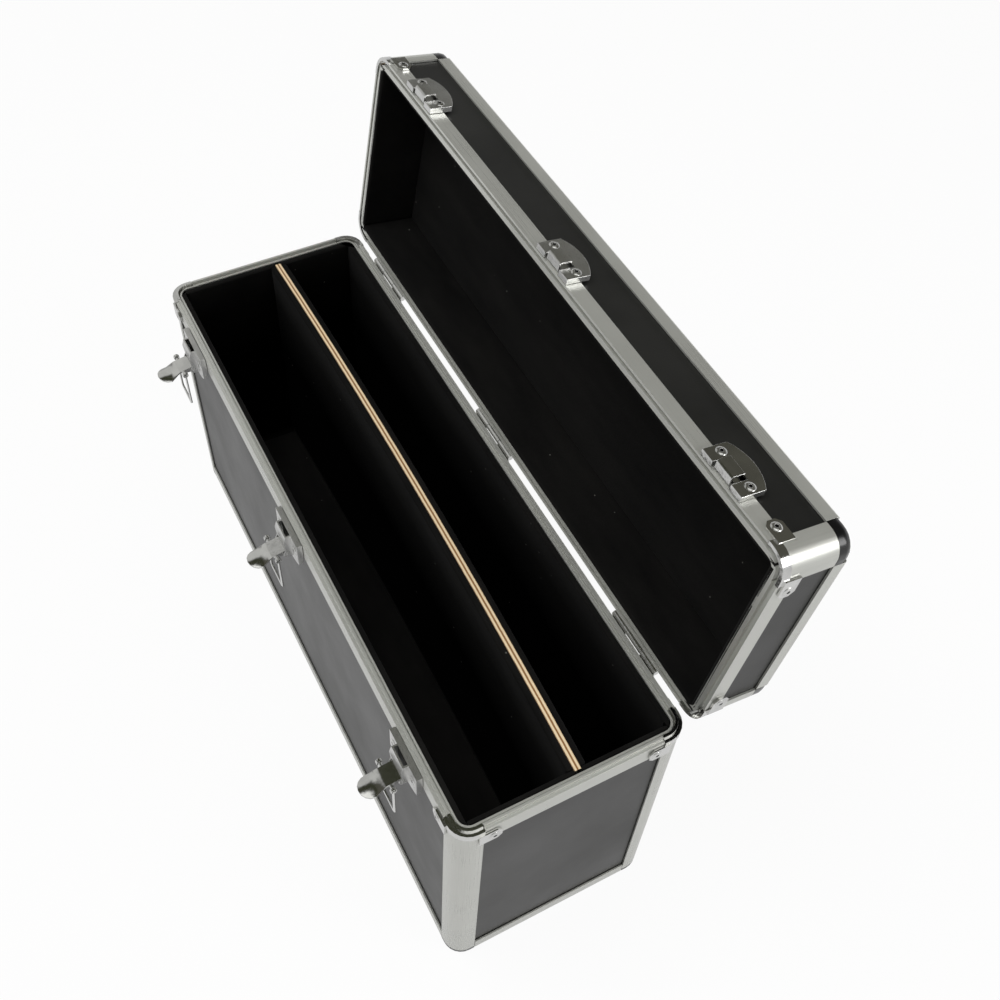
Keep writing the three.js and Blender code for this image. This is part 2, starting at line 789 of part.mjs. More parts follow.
// Moulded grip about its pins, folded over towards the hinges.
function handleGrip() {
  const half = gripLength / 2;
  const depth = gripThickness - 2 * gripRound;
  const shape = new THREE.Shape();
  shape.moveTo(-half, -gripHeel);
  shape.lineTo(-half, gripReach - gripCorner);
  shape.absarc(-half + gripCorner, gripReach - gripCorner, gripCorner, Math.PI, Math.PI / 2, true);
  shape.lineTo(half - gripCorner, gripReach);
  shape.absarc(half - gripCorner, gripReach - gripCorner, gripCorner, Math.PI / 2, 0, true);
  shape.lineTo(half, -gripHeel);
  shape.lineTo(half - gripArm, -gripHeel);
  shape.lineTo(half - gripArm, gripReach - gripBar);
  shape.lineTo(-half + gripArm, gripReach - gripBar);
  shape.lineTo(-half + gripArm, -gripHeel);
  const geometry = new THREE.ExtrudeGeometry(shape, {
    depth,
    bevelEnabled: true,
    bevelThickness: gripRound,
    bevelSize: gripRound,
    bevelOffset: -gripRound,
    bevelSegments: roundSteps,
    curveSegments: cornerSteps,
  });
  geometry.translate(0, 0, -depth / 2);
  const reach = handlePinReach + fitGap;
  return cut(
    solid(geometry),
    barAlongX(handlePin + fitGap, half - reach, half + overrun, 0, 0),
    barAlongX(handlePin + fitGap, -half - overrun, -half + reach, 0, 0),
  );
}

const finishes = {
  anodised: { color: 0xa9aba4, roughness: 0.42, metalness: 0.85 },
  chrome: { color: 0xc9cbcc, roughness: 0.12, metalness: 1 },
  laminate: { color: 0x2b2c2b, roughness: 0.55, metalness: 0 },
  lining: { color: 0x161616, roughness: 0.95, metalness: 0 },
  plywood: { color: 0xd8b98a, roughness: 0.7, metalness: 0 },
  plastic: { color: 0x0c0c0d, roughness: 0.25, metalness: 0 },
};

// Adds a named mesh with its own material to a group and returns it.
function add(group, name, piece, finish, position = [0, 0, 0]) {
  const mesh = new THREE.Mesh(skin(piece), new THREE.MeshStandardMaterial(finishes[finish]));
  mesh.name = name;
  mesh.position.set(...position);
  group.add(mesh);
  return mesh;
}

// Adds the same piece at all four corners.
function addCorners(group, name, piece, finish) {
  cornerPlaces.forEach(([place, signX, signY, degrees]) => {
    const mesh = add(group, `${name}_${place}`, piece, finish, [signX * caseLength / 2, signY * caseWidth / 2, 0]);
    mesh.rotation.z = THREE.MathUtils.degToRad(degrees);
  });
}

const halfLength = caseLength / 2;
const halfWidth = caseWidth / 2;
const microphoneCase = new THREE.Group();
microphoneCase.name = 'microphone_case';

// Base boards. Each wall board stands on the edge extrusion's web and ends at the posts' cores.
const wallLow = bottomBoard + fitGap + lipWall + fitGap;
const wallHigh = partingHeight - baseWebDrop - rimWeb - fitGap;
const longEnd = halfLength - cornerRadius;
const shortEnd = halfWidth - cornerRadius;
const bottomBlank = block(
  -halfLength + boardOuter, halfLength - boardOuter, -halfWidth + boardOuter, halfWidth - boardOuter, 0, bottomBoard,
);
add(microphoneCase, 'base_bottom_board', notchCorners(bottomBlank, -overrun, bottomBoard + overrun), 'laminate');
add(microphoneCase, 'base_front_board', block(
  -longEnd, longEnd, -halfWidth + boardOuter, -halfWidth + boardInner, wallLow, wallHigh,
), 'laminate');
add(microphoneCase, 'base_back_board', block(
  -longEnd, longEnd, halfWidth - boardInner, halfWidth - boardOuter, wallLow, wallHigh,
), 'laminate');
add(microphoneCase, 'base_near_board', block(
  halfLength - boardInner, halfLength - boardOuter, -shortEnd, shortEnd, wallLow, wallHigh,
), 'laminate');
add(microphoneCase, 'base_far_board', block(
  -halfLength + boardOuter, -halfLength + boardInner, -shortEnd, shortEnd, wallLow, wallHigh,
), 'laminate');

// Base frame
addCorners(microphoneCase, 'base_post', raise(
  postShape(true), footTop + fitGap, partingHeight - castingSkirt - fitGap, 2 * cornerSteps,
), 'anodised');
add(microphoneCase, 'base_rim', baseRim(), 'anodised');
add(microphoneCase, 'base_bottom_edge', baseEdge(), 'anodised');
addCorners(microphoneCase, 'base_rim_corner', baseCasting(), 'chrome');
addCorners(microphoneCase, 'base_foot', footCap(), 'plastic');

// Base lining with an end slot each side for the divider
const liningTop = partingHeight - liningTopDrop;
const slotHalf = dividerBoard / 2 + fitGap;
const slotReach = halfLength - liningInner + dividerReach + fitGap;
const slot = raise(dividerStrip(slotReach, -slotHalf, slotHalf), floorLevel, liningTop + overrun);
add(microphoneCase, 'base_lining', liningTray(
  innerLegHeight + fitGap, partingHeight - innerLegHeight - fitGap,
  bottomBoard + fitGap, liningTop, floorLevel, liningTop + overrun,
).subtract(slot), 'lining');

// Divider: a slightly bowed ply board in a soft sleeve that leaves its top edge bare
const boardReach = halfLength - liningInner + dividerReach;
const sleeveReach = halfLength - liningInner - fitGap;
const sleeveHalf = slotHalf + dividerPad;
const soleTop = floorLevel + fitGap + dividerSole;
add(microphoneCase, 'divider_board', raise(
  dividerStrip(boardReach, -dividerBoard / 2, dividerBoard / 2), soleTop + fitGap, liningTop,
), 'plywood');
add(microphoneCase, 'divider_sleeve', cut(
  raise(dividerStrip(sleeveReach, -sleeveHalf, sleeveHalf), floorLevel + fitGap, liningTop - fitGap),
  raise(dividerStrip(boardReach + overrun, -slotHalf, slotHalf), soleTop, liningTop + overrun),
), 'lining');

// Hinges and latches on the base
const clawSwing = clawReach();
fittingPlaces.forEach(([place, x, hingeX]) => {
  add(microphoneCase, `hinge_base_${place}`, baseHinge(), 'chrome', [hingeX, 0, partingHeight]);
  add(microphoneCase, `latch_plate_${place}`, latchPlate(), 'chrome', [x, -halfWidth, partingHeight - plateSeat]);
  const leverGroup = new THREE.Group();
  leverGroup.name = `latch_lever_group_${place}`;
  leverGroup.position.set(x, -halfWidth - leverPivotOut, partingHeight - leverPivotDrop);
  add(leverGroup, `latch_lever_${place}`, lever(), 'chrome');
  const clawGroup = new THREE.Group();
  clawGroup.name = `latch_claw_group_${place}`;
  clawGroup.position.set(0, -leverCrank, 0);
  add(clawGroup, `latch_claw_${place}`, claw(), 'chrome');
  leverGroup.add(clawGroup);
  microphoneCase.add(leverGroup);
});

// Lid, built closed and turned back about the hinge pins
const pivotY = halfWidth + hingeOut;
const pivotZ = partingHeight + hingeRise;
const lidTurn = new THREE.Group();
lidTurn.name = 'lid_turn';
lidTurn.position.set(0, pivotY, pivotZ);
lidTurn.rotation.x = -THREE.MathUtils.degToRad(lidOpenAngle);
const lid = new THREE.Group();
lid.name = 'lid';
lid.position.set(0, -pivotY, lidEdge - pivotZ);
lidTurn.add(lid);
microphoneCase.add(lidTurn);

const topBoardLow = lidHeight - lipWall - fitGap - topBoard;
const topBlank = block(
  -halfLength + boardOuter, halfLength - boardOuter, -halfWidth + boardOuter, halfWidth - boardOuter,
  topBoardLow, topBoardLow + topBoard,
);
const bandLow = grooveHeight + rimWeb + fitGap;
const bandHigh = lidCeiling - lipWall - fitGap;
add(lid, 'lid_top_board', notchCorners(topBlank, topBoardLow - overrun, lidHeight + overrun), 'laminate');
add(lid, 'lid_side_band', ring(boardOuter, boardInner, bandLow, bandHigh), 'laminate');
add(lid, 'lid_rim', lidRim(), 'anodised');
add(lid, 'lid_top_edge', lidEdgeFrame(), 'anodised');
addCorners(lid, 'lid_post', raise(
  postShape(false), castingSkirt + fitGap, lidHeight - edgeLeg - fitGap, 2 * cornerSteps,
), 'anodised');
addCorners(lid, 'lid_rim_corner', lidCasting(), 'chrome');
addCorners(lid, 'lid_cap', lidCap(), 'plastic');
add(lid, 'lid_lining', liningTray(
  innerLegHeight + fitGap, lidHeight - innerLegHeight - fitGap,
  grooveHeight + rimWeb + fitGap, lidCeiling,
  -overrun, lidCeiling - liningWall,
), 'lining');
fittingPlaces.forEach(([place, x, hingeX]) => {
  add(lid, `hinge_lid_${place}`, lidHinge(), 'chrome', [hingeX, 0, partingHeight - lidEdge]);
  add(lid, `keeper_${place}`, keeper(), 'chrome', [x, -halfWidth, plateSeat]);
});

// Folding handle on the lid top; with the lid open the grip hangs straight down
const topFace = topBoardLow + topBoard;
const rightAngle = 90;
add(lid, 'handle_plate', handlePlate(), 'chrome', [0, 0, topFace]);
const grip = add(lid, 'handle_grip', handleGrip(), 'plastic', [0, 0, topFace + handlePivotRise]);
grip.rotation.x = THREE.MathUtils.degToRad(lidOpenAngle - rightAngle);

console.log(`claw swing ${(180 + clawSwing.lean).toFixed(3)} degrees, reach ${clawSwing.length.toFixed(3)} mm`);

export default microphoneCase;
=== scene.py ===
"""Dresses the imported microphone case: metal trim, laminated boards, linings and a plywood divider.

All places and sizes are metres in the frame's own axes. X runs along the case, the latches face -Y,
the hinges +Y, and Z points up out of the open base.
"""
import logging
import math
from collections.abc import Sequence
from dataclasses import dataclass, field
from enum import Enum
from itertools import product

import bmesh
import bpy
import numpy as np
from mathutils import Matrix, Vector


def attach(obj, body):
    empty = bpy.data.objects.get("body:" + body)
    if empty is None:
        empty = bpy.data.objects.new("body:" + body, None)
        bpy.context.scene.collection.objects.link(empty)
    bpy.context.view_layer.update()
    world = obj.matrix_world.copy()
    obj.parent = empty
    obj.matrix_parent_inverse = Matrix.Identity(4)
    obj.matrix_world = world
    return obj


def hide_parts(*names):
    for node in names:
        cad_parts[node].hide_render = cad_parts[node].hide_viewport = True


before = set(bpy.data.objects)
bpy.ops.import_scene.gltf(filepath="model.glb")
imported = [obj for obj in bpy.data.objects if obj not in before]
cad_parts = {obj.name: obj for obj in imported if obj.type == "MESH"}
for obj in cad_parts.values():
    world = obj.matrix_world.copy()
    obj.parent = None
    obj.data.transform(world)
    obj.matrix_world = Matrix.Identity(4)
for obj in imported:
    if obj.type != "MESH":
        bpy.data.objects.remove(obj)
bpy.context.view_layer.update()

logging.basicConfig(level=logging.INFO, format="%(message)s")
log = logging.getLogger("microphone_case")

Span = tuple[float, float]
Point = tuple[float, float, float]
Colour = tuple[float, float, float]
Stops = Sequence[tuple[float, Colour]]
Shell = tuple[np.ndarray, np.ndarray]
Material, Mesh, Piece = bpy.types.Material, bpy.types.Mesh, bpy.types.Object
Node, Socket = bpy.types.Node, bpy.types.NodeSocket
Value = Socket | float | Point

EVEN: Point = (1.0, 1.0, 1.0)
BLACK: Colour = (0.0, 0.0, 0.0)
MIDDLE: Span = (0.3, 0.7)
ON_PLANE = 1e-7
X, Y, Z = np.eye(3)


class Draw(Enum):
    """Which way the drawing lines of an extrusion run."""

    ROUND_BASE = "round the base"
    ROUND_LID = "round the lid"
    UPRIGHT_BASE = "up the base posts"
    UPRIGHT_LID = "up the lid posts"


class Side(Enum):
    """The long sides of the case, by the way that they face."""

    FRONT = -1.0
    BACK = 1.0


@dataclass(frozen=True)
class CaseSizes:
    """The sizes that the pieces share."""

    half_length: float = 0.265
    half_width: float = 0.083
    parting: float = 0.223
    lid_edge: float = 0.2233
    hinge_y: float = 0.0857
    hinge_z: float = 0.2234
    open_angle: float = math.radians(99.07)
    lining_outer: float = 0.0071
    floor_board: float = 0.0043
    lining_top: float = 0.222
    lid_ceiling: float = 0.0484


SIZES = CaseSizes()


def lid_to_frame(points: np.ndarray) -> np.ndarray:
    """Turns points of the closed lid into their place on the open lid.

    The height counts from the lid's open edge. Each point is turned back by the open angle about
    the hinge line: y' = y cos a + z sin a, z' = z cos a - y sin a, both taken from the hinge.

    Args:
        points: Array of shape (n, 3) in the closed lid's own places.

    Returns:
        Array of the same shape in the frame's axes.
    """
    across = points[:, 1] - SIZES.hinge_y
    up = points[:, 2] + SIZES.lid_edge - SIZES.hinge_z
    cosine, sine = math.cos(SIZES.open_angle), math.sin(SIZES.open_angle)
    return np.column_stack([
        points[:, 0],
        SIZES.hinge_y + across * cosine + up * sine,
        SIZES.hinge_z - across * sine + up * cosine,
    ])


@dataclass(frozen=True)
class Grain:
    """A pattern of noise or of cells, and its relief where it has one.

    The scale counts cells per metre of the coordinates, stretched on each axis. Detail is the
    number of octaves, roughness how strong the finer ones are, depth the relief in metres, and
    strength how much of it shows.
    """

    scale: float
    detail: float = 3.0
    roughness: float = 0.55
    stretch: Point = EVEN
    depth: float = 0.0
    strength: float = 0.35


class NodeTree:
    """A tree of shader nodes, with short calls for the nodes that this case uses."""

    def __init__(self, owner: Material | bpy.types.World) -> None:
        """Opens the tree of a material or of the world."""
        owner.use_nodes = True
        self.nodes, self.links = owner.node_tree.nodes, owner.node_tree.links

    def feed(self, socket: Socket, value: Value) -> None:
        """Links a varying value to a socket, or sets one that is the same everywhere.

        Args:
            socket: The socket that takes the value.
            value: An output socket, a number, a vector, or a colour without its alpha.
        """
        if isinstance(value, Socket):
            self.links.new(value, socket)
        else:
            socket.default_value = (*value, 1.0) if socket.type == "RGBA" else value

    def add(self, kind: str, inputs: dict[str | int, Value] | None = None, **options: str) -> Node:
        """Adds a node and feeds its inputs.

        Args:
            kind: The node's type, without the word ShaderNode.
            inputs: The value for each input, by its name or number.
            options: The node's own settings.

        Returns:
            The node.
        """
        node = self.nodes.new("ShaderNode" + kind)
        for name, choice in options.items():
            setattr(node, name, choice)
        for key, value in (inputs or {}).items():
            self.feed(node.inputs[key], value)
        return node

    def split(self, vector: Socket) -> bpy.types.NodeOutputs:
        """The X, Y and Z of a vector."""
        return self.add("SeparateXYZ", {0: vector}).outputs

    def stretched(self, vector: Socket, stretch: Point) -> Socket:
        """Coordinates times a factor on each axis."""
        return self.add("Mapping", {"Vector": vector, "Scale": stretch}).outputs["Vector"]

    def noise(self, vector: Socket, grain: Grain) -> Socket:
        """Noise between 0 and 1.

        Args:
            vector: The coordinates.
            grain: The pattern, which first stretches them.

        Returns:
            The value's socket.
        """
        sockets = {"Scale": grain.scale, "Detail": grain.detail, "Roughness": grain.roughness}
        sockets["Vector"] = self.stretched(vector, grain.stretch)
        return self.add("TexNoise", sockets).outputs["Fac"]

    def cells(self, vector: Socket, grain: Grain) -> Socket:
        """The distance to the nearest of many scattered points, for pebbles and specks."""
        return self.add("TexVoronoi", {"Vector": vector, "Scale": grain.scale}).outputs["Distance"]

    def math(self, kind: str, first: Socket | float, second: Socket | float = 0.0) -> Socket:
        """A sum on one or two values, by the Math node's name for it."""
        return self.add("Math", {0: first, 1: second}, operation=kind).outputs[0]

    def ranged(self, value: Socket, reach: Span, to: Span) -> Socket:
        """Carries a value from one span to another, held at its ends."""
        sockets = {"Value": value, 1: reach[0], 2: reach[1], 3: to[0], 4: to[1]}
        return self.add("MapRange", sockets).outputs["Result"]

    def colours(self, value: Socket, stops: Stops, eased: bool = False) -> Socket:
        """A colour ramp.

        Args:
            value: The value that runs along the ramp.
            stops: Places and colours, in order.
            eased: Whether the colours ease in and out between the stops.

        Returns:
            The colour's socket.
        """
        node = self.add("ValToRGB", {"Fac": value})
        ramp = node.color_ramp
        ramp.interpolation = "EASE" if eased else "LINEAR"
        while len(ramp.elements) < len(stops):
            ramp.elements.new(1.0)
        for element, (where, colour) in zip(ramp.elements, stops):
            element.position = where
            element.color = (*colour, 1.0)
        return node.outputs["Color"]

    def mix(self, share: Value, under: Value, over: Value, kind: str = "MIX") -> Socket:
        """Lays one colour over another.

        Args:
            share: How much of the upper colour shows, 0 to 1.
            under: The lower colour.
            over: The upper colour.
            kind: How they join, as the Mix node names it.

        Returns:
            The mixed colour's socket.
        """
        node = self.add("Mix", data_type="RGBA", blend_type=kind)
        both = [socket for socket in node.inputs if socket.type == "RGBA"]
        for socket, value in zip((node.inputs["Factor"], *both), (share, under, over)):
            self.feed(socket, value)
        return next(socket for socket in node.outputs if socket.type == "RGBA")

    def bump(self, height: Socket, grain: Grain, under: Socket | None = None) -> Socket:
        """A bumped normal.

        Args:
            height: The relief, between 0 and 1.
            grain: Its depth and strength.
            under: A coarser normal that it lies on.

        Returns:
            The normal's socket.
        """
        inputs = {"Strength": grain.strength, "Distance": grain.depth, "Height": height}
        if under is not None:
            inputs["Normal"] = under
        return self.add("Bump", inputs).outputs["Normal"]


class Finish(NodeTree):
    """The node tree of a new material on the principled shader."""

    def __init__(self, name: str) -> None:
        """Starts an empty finish.

        Args:
            name: The material's name.
        """
        self.material = bpy.data.materials.new(name)
        super().__init__(self.material)
        self.shader = self.nodes["Principled BSDF"]

    def surface(self, values: dict[str, Value]) -> Material:
        """Feeds the shader's sockets.

        Args:
            values: The value for each socket, by its name.

        Returns:
            The material.
        """
        for name, value in values.items():
            self.feed(self.shader.inputs[name], value)
        return self.material

    def place(self, on_lid: bool = False) -> Socket:
        """Object coordinates, for the lid turned back to the closed lid's axes.

        Args:
            on_lid: Whether the pattern follows the open lid.

        Returns:
            The coordinates' socket.
        """
        source = self.add("TexCoord").outputs["Object"]
        if not on_lid:
            return source
        pivot = np.array([0.0, SIZES.hinge_y, SIZES.hinge_z])
        turn = np.array(Matrix.Rotation(SIZES.open_angle, 3, "X"))
        return self.add("Mapping", {
            "Vector": source, "Rotation": (SIZES.open_angle, 0.0, 0.0),
            "Location": tuple(pivot - turn @ pivot),
        }).outputs["Vector"]


@dataclass(frozen=True)
class Anodised:
    """Satin anodised aluminium with fine drawing lines and a faint change of sheen along them.

    Its tone is line_share of the lines and the rest of the cloud. Round the case, along is how fast
    the lines change with the place along them; on the posts, upright is the stretch of each axis.
    """

    name: str
    draw: Draw
    tones: Stops = ((0.32, (0.60, 0.605, 0.57)), (0.6, (0.70, 0.705, 0.665)))
    roughness: Span = (0.23, 0.37)
    metal: float = 0.66
    lines: Grain = Grain(3200.0, 4.0, 0.7, depth=0.000012, strength=0.5)
    line_share: float = 0.55
    cloud: Grain = Grain(14.0)
    along: float = 0.0012
    upright: Point = (0.6, 0.6, 0.004)

    def make(self) -> Material:
        """Builds the material. Lines are noise squeezed across the profile and drawn out along it.

        Round the case the place across the profile is the depth from the nearest outer face, the
        smaller of (half length - |x|) and (half width - |y|), and the height.

        Returns:
            The material.
        """
        finish = Finish(self.name)
        place = finish.place(self.draw in (Draw.ROUND_LID, Draw.UPRIGHT_LID))
        if self.draw in (Draw.ROUND_BASE, Draw.ROUND_LID):
            x, y, z = finish.split(place)
            in_x = finish.math("SUBTRACT", SIZES.half_length, finish.math("ABSOLUTE", x))
            in_y = finish.math("SUBTRACT", SIZES.half_width, finish.math("ABSOLUTE", y))
            depth = finish.math("MINIMUM", in_x, in_y)
            along = finish.math("MULTIPLY", finish.math("ADD", x, y), self.along)
            profile = finish.add("CombineXYZ", {0: depth, 1: z, 2: along}).outputs["Vector"]
        else:
            profile = finish.stretched(place, self.upright)
        lines = finish.noise(profile, self.lines)
        cloud = finish.noise(place, self.cloud)
        tone = finish.math("ADD", finish.math("MULTIPLY", lines, self.line_share),
                           finish.math("MULTIPLY", cloud, 1.0 - self.line_share))
        return finish.surface({
            "Base Color": finish.colours(tone, self.tones),
            "Roughness": finish.ranged(tone, MIDDLE, self.roughness),
            "Metallic": self.metal,
            "Normal": finish.bump(lines, self.lines),
        })


@dataclass(frozen=True)
class BrightPlate:
    """Bright plated steel: a mirror that the pressing left slightly wavy, with hairline scratches.

    The slots between the latch plates and their hoods are boxes of slot_half about slot_middle, at
    each place in slots; a painted shade darkens them, where shade falls deep in the slot.
    """

    name: str
    roughness: Span = (0.07, 0.23)
    slots: tuple[float, ...] = ()
    slot_half: Point = (0.0073, 0.0020, 0.0125)
    slot_middle: Span = (-0.0892, 0.2094)
    tones: Stops = ((0.3, (0.66, 0.66, 0.65)), (0.55, (0.80, 0.80, 0.785)))
    # The colour of the painted shade in the latch slots and in the rivets' hollows.
    painted_shade_colour: Colour = (0.012, 0.012, 0.010)
    waves: Grain = Grain(120.0, 2.0, depth=0.0005)
    scratches: Grain = Grain(420.0, 4.0, 0.75, (1.0, 14.0, 3.0), 0.00003)
    smears: Grain = Grain(45.0)
    reach: Span = (0.35, 0.75)

    def make(self) -> Material:
        """Builds the material: slow noise bends the mirror, squeezed noise scratches and dulls it.

        A painted shade darkens the slots, and the hollows that a piece marks in a point value.

        Returns:
            The material.
        """
        finish = Finish(self.name)
        place = finish.place()
        scratches = finish.noise(place, self.scratches)
        # Mask of painted shade: first the hollows that a piece marks, then each latch slot's box.
        painted_shade_mask = finish.add("Attribute", attribute_name="shaded_hollow").outputs["Fac"]
        axes = finish.split(place)
        for middle in self.slots:
            inside: Socket | float = 1.0
            for axis, centre, half in zip(axes, (middle, *self.slot_middle), self.slot_half):
                away = finish.math("ABSOLUTE", finish.math("SUBTRACT", axis, centre))
                inside = finish.math("MULTIPLY", finish.math("LESS_THAN", away, half), inside)
            painted_shade_mask = finish.math("MAXIMUM", painted_shade_mask, inside)
        plate = finish.colours(finish.noise(place, self.smears), self.tones)
        soft = finish.bump(finish.noise(place, self.waves), self.waves)
        return finish.surface({
            "Base Color": finish.mix(painted_shade_mask, plate, self.painted_shade_colour),
            "Roughness": finish.ranged(scratches, self.reach, self.roughness),
            "Metallic": 1.0,
            "Normal": finish.bump(scratches, self.scratches, soft),
        })


@dataclass(frozen=True)
class GrainedFace:
    """A black face with a moulded grain, and paler where it is handled: laminate or plastic."""

    name: str
    tones: Stops
    roughness: Span
    pebbles: Grain
    marks: Grain
    fine: Grain | None = None
    reach: Span = MIDDLE
    coat: float = 0.0
    on_lid: bool = False
    coat_roughness: float = 0.08

    def make(self) -> Material:
        """Builds the material: cells are the grain, slow noise the marks, quick noise the print.

        Returns:
            The material.
        """
        finish = Finish(self.name)
        place = finish.place(self.on_lid)
        marks = finish.noise(place, self.marks)
        normal = finish.bump(finish.cells(place, self.pebbles), self.pebbles)
        if self.fine:
            normal = finish.bump(finish.noise(place, self.fine), self.fine, normal)
        return finish.surface({
            "Base Color": finish.colours(marks, self.tones),
            "Roughness": finish.ranged(marks, self.reach, self.roughness),
            "Coat Weight": self.coat,
            "Coat Roughness": self.coat_roughness,
            "Normal": normal,
        })


@dataclass(frozen=True)
class LiningCloth:
    """Matt black cloth on thin foam: a short nap, slow pull marks and a few specks of lint.

    In the base the walls and the divider carry a painted shade, deepest below the rim's band and
    fading out at the rim, with none on the floor; their gloss and sheen are turned down with it. The
    stops give how deep the painted shade is, from 0 to 1, by the share of the lining's height.
    """

    name: str
    on_lid: bool
    tones: Stops = ((0.3, (0.0046, 0.0045, 0.0045)), (0.72, (0.0102, 0.0098, 0.0092)))
    # deep is the colour of the painted shade on the base's walls and the divider.
    deep: Colour = (0.0004, 0.0004, 0.0004)
    gloss: float = 0.12
    sheen: float = 0.025
    sheen_roughness: float = 0.45
    roughness: Span = (0.82, 1.0)
    nap: Grain = Grain(1400.0, 4.0, 0.7, depth=0.0004, strength=0.6)
    pulls: Grain = Grain(22.0, 4.0, 0.6, (0.5, 1.6, 1.6), 0.0015)
    specks: Grain = Grain(55.0)
    speck_reach: float = 0.035
    lint: Colour = (0.11, 0.11, 0.10)
    painted_shade_stops: tuple[Span, ...] = (
        (0.0, 0.0), (0.06, 0.0), (0.09, 0.92), (0.60, 0.97), (0.84, 0.62), (0.97, 0.0),
    )

    def make(self) -> Material:
        """Builds the material: fine noise is the nap, drawn-out noise the pull marks.

        The lint lies at the rare cell centres.

        Returns:
            The material.
        """
        finish = Finish(self.name)
        place = finish.place(self.on_lid)
        finish.surface({"Sheen Weight": self.sheen, "Specular IOR Level": self.gloss})
        nap = finish.noise(place, self.nap)
        pulls = finish.noise(place, self.pulls)
        ground = finish.colours(pulls, self.tones)
        specks = finish.math("LESS_THAN", finish.cells(place, self.specks), self.speck_reach)
        # In the base a painted shade, by the height within the tray, darkens the cloth and turns
        # down its gloss and sheen.
        if not self.on_lid:
            height = finish.ranged(finish.split(place)["Z"], (0.0, SIZES.lining_top), (0.0, 1.0))
            share = finish.colours(height, [(stop, (shade,) * 3) for stop, shade in self.painted_shade_stops])
            ground = finish.mix(share, ground, self.deep)
            unshaded_share = finish.math("SUBTRACT", 1.0, share)
            finish.surface({
                "Specular IOR Level": finish.math("MULTIPLY", unshaded_share, self.gloss),
                "Sheen Weight": finish.math("MULTIPLY", unshaded_share, self.sheen),
            })
        return finish.surface({
            "Base Color": finish.mix(specks, ground, self.lint),
            "Roughness": finish.ranged(nap, MIDDLE, self.roughness),
            "Sheen Roughness": self.sheen_roughness,
            "Normal": finish.bump(nap, self.nap, finish.bump(pulls, self.pulls)),
        })


@dataclass(frozen=True)
class Plywood:
    """Raw plywood: pale face plies either side of a brown core, with grain along the board.

    Each ply runs between two of the places, which are shares of the board's thickness.
    """

    name: str
    pale: Colour = (0.82, 0.63, 0.38)
    cream: Colour = (0.90, 0.77, 0.56)
    # outer_band colours the thin darker band at each face of the board, next to the cloth.
    outer_band: Colour = (0.17, 0.11, 0.07)
    core: Colour = (0.26, 0.125, 0.045)
    places: tuple[float, ...] = (0.05, 0.10, 0.24, 0.37, 0.42, 0.58, 0.63, 0.78, 0.90, 0.95)
    waver: Grain = Grain(1.0, stretch=(60.0, 0.0, 1.0))
    waver_size: float = 0.10
    grain: Grain = Grain(3.0, 5.0, 0.65, (90.0, 9.0, 1.0), 0.0002, 0.5)
    stain: Stops = ((0.3, (0.62, 0.52, 0.42)), (0.6, EVEN))
    stain_share: float = 0.55
    roughness: Span = (0.7, 0.5)

    def make(self) -> Material:
        """Builds the material from the board's own map: v runs across the plies, u along the board.

        The plies lie alike on both sides of the core, and slow noise shifts them along the board.

        Returns:
            The material.
        """
        finish = Finish(self.name)
        board_map = finish.add("TexCoord").outputs["UV"]
        waver = finish.math("SUBTRACT", finish.noise(board_map, self.waver), 0.5)
        across = finish.math("ADD", finish.split(board_map)["Y"],
                             finish.math("MULTIPLY", waver, self.waver_size))
        # From each face inwards: a darker band, pale, cream, pale, then the brown core.
        side = [self.outer_band, self.pale, self.cream, self.pale, self.core]
        plies = finish.colours(across, list(zip(self.places, side + side[::-1])))
        grain = finish.noise(board_map, self.grain)
        stain = finish.colours(grain, self.stain)
        return finish.surface({
            "Base Color": finish.mix(self.stain_share, plies, stain, "MULTIPLY"),
            "Roughness": finish.ranged(grain, MIDDLE, self.roughness),
            "Normal": finish.bump(grain, self.grain),
        })


def new_piece(name: str, points: np.ndarray, faces: list | np.ndarray,
              smooth: bool = True) -> Piece:
    """Makes an object from points and faces.

    Args:
        name: The object's name.
        points: Array of shape (n, 3).
        faces: Index rows.
        smooth: Whether the faces are shaded smooth.

    Returns:
        The object, at the origin.
    """
    mesh = bpy.data.meshes.new(name)
    mesh.from_pydata(points.tolist(), [], faces if isinstance(faces, list) else faces.tolist())
    mesh.polygons.foreach_set("use_smooth", np.full(len(mesh.polygons), smooth))
    mesh.validate()
    piece = bpy.data.objects.new(name, mesh)
    bpy.context.scene.collection.objects.link(piece)
    return piece


def seat_piece(piece: Piece, material: Material, slot: str, body: str, *nodes: str) -> Piece:
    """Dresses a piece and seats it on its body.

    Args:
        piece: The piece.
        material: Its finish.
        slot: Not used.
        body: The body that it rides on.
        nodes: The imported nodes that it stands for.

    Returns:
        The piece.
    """
    piece.data.materials.clear()
    piece.data.materials.append(material)
    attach(piece, body)
    if nodes:
        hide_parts(*nodes)
    log.info("made %s (%d faces)", piece.name, len(piece.data.polygons))
    return piece


def read_rows(rows: bpy.types.bpy_prop_collection, name: str, kind: type, width: int) -> np.ndarray:
    """Reads one value of every row of a mesh, as an array of shape (rows, width)."""
    rows.foreach_get(name, values := np.empty(len(rows) * width, kind))
    return values.reshape(-1, width)


def ring_quads(index: np.ndarray) -> np.ndarray:
    """Quads between neighbouring rows of corner numbers, where each row closes to a ring."""
    after = np.roll(index, -1, axis=1)
    return np.stack([index[:-1], after[:-1], after[1:], index[1:]], axis=-1).reshape(-1, 4)


